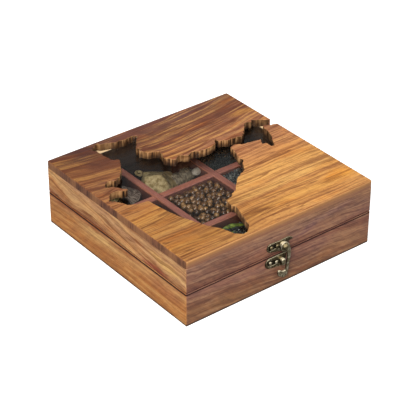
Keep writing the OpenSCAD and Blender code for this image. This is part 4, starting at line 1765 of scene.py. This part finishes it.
@dataclass
class Studio:
    """The pale floor, the soft lights and the camera."""

    azimuth: float = -38.61
    elevation: float = 32.79
    roll: float = 0.34
    distance: float = 1.4
    aim: tuple[float, float, float] = (0.0028, 0.0006, 0.0217)
    focal: float = 135.4
    floor_size: float = 12.0
    sky: float = 0.26

    def back_vector(self, azimuth: float, elevation: float) -> Vector:
        """Gives the direction from the box towards a viewer or a lamp."""
        a, e = math.radians(azimuth), math.radians(elevation)
        return Vector((math.sin(a) * math.cos(e), -math.cos(a) * math.cos(e), math.sin(e)))

    def add_camera(self) -> None:
        """Puts the camera in place."""
        back = self.back_vector(self.azimuth, self.elevation)
        data = bpy.data.cameras.new("camera")
        data.lens = self.focal
        data.sensor_width = 36.0
        data.clip_start, data.clip_end = 0.05, 50.0
        camera = bpy.data.objects.new("camera", data)
        bpy.context.scene.collection.objects.link(camera)
        camera.location = Vector(self.aim) + back * self.distance
        camera.rotation_mode = "QUATERNION"
        turn = Quaternion((0, 0, 1), math.radians(self.roll))
        camera.rotation_quaternion = (-back).to_track_quat("-Z", "Y") @ turn
        bpy.context.scene.camera = camera

    def add_lamp(self, name: str, azimuth: float, elevation: float, far: float, size: float,
                 power: float, tone: str) -> None:
        """Hangs one soft square lamp that looks at the box.

        Args:
            name: The lamp's name.
            azimuth: Its direction round the box, in degrees.
            elevation: Its height above the horizon, in degrees.
            far: Its distance, in metres.
            size: The length of its side.
            power: Its power in watts.
            tone: Its colour.
        """
        data = bpy.data.lights.new(name, "AREA")
        data.shape = "SQUARE"
        data.size = size
        data.energy = power
        data.color = paint(tone)[:3]
        lamp = bpy.data.objects.new(name, data)
        bpy.context.scene.collection.objects.link(lamp)
        back = self.back_vector(azimuth, elevation)
        lamp.location = back * far
        lamp.rotation_mode = "QUATERNION"
        lamp.rotation_quaternion = (-back).to_track_quat("-Z", "Y")

    def add_floor(self) -> None:
        """Lays the pale floor."""
        half = self.floor_size / 2

        def build(bm: bmesh.types.BMesh) -> None:
            """Puts the shape into the mesh."""
            corners = ((-half, -half), (half, -half), (half, half), (-half, half))
            bm.faces.new([bm.verts.new((x, y, 0.0)) for x, y in corners])

        floor = link_mesh("floor", build)
        material, _, shader = new_material("pale_floor")
        shader.inputs["Base Color"].default_value = paint("E8E8E8")
        shader.inputs["Roughness"].default_value = 0.9
        shader.inputs["Specular IOR Level"].default_value = 0.0
        shader.inputs["Emission Color"].default_value = paint("FFFFFF")
        shader.inputs["Emission Strength"].default_value = 0.75
        dress(floor, material)
        floor.visible_diffuse = False
        floor.visible_glossy = False

    def make(self) -> None:
        """Builds the whole studio."""
        scene = bpy.context.scene
        world = bpy.data.worlds.new("soft_sky")
        world.use_nodes = True
        backdrop = world.node_tree.nodes["Background"]
        backdrop.inputs["Color"].default_value = paint("FFFFFF")
        backdrop.inputs["Strength"].default_value = self.sky
        scene.world = world
        scene.view_settings.view_transform = "Standard"
        scene.view_settings.look = "None"
        self.add_floor()
        self.add_lamp("key_lamp", -55, 38, 1.6, 0.7, 25.5, "FFF8EE")
        self.add_lamp("overhead_lamp", 30, 78, 1.5, 1.0, 10.4, "FFFFFF")
        self.add_lamp("front_lamp", 25, 20, 1.8, 1.0, 3.0, "FAFAFF")
        self.add_camera()


def main() -> None:
    """Builds the box's looks round its frame."""
    logging.basicConfig(level=logging.INFO, format="%(name)s: %(message)s")
    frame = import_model()
    nodes = frame["nodes"]
    scatter = Scatter()
    bright = BrassFinish("rubbed_brass_painted_light").material()
    dark = BrassFinish("aged_brass", "E4D8B4", "6A5E44", "17120C", 0.4, 0.36).material()
    worn = BrassFinish("worn_brass_painted_light", "A89870", "6E6244", "17120C", 0.4, 0.4).material()
    calm = BrassFinish("hinge_brass", "A08E62", "7C6C46", "443824", 0.45, 0.38).material()
    Case(nodes).dress_all()
    TopBoard(nodes).make()
    Window(nodes).dress_all()
    Hinges(nodes).make(worn, calm)
    Latch(nodes).make(bright, dark, worn)
    Fasteners(nodes, scatter).make(bright, worn)
    Spices(scatter).make()
    Studio().make()


if __name__ == "__main__":
    main()
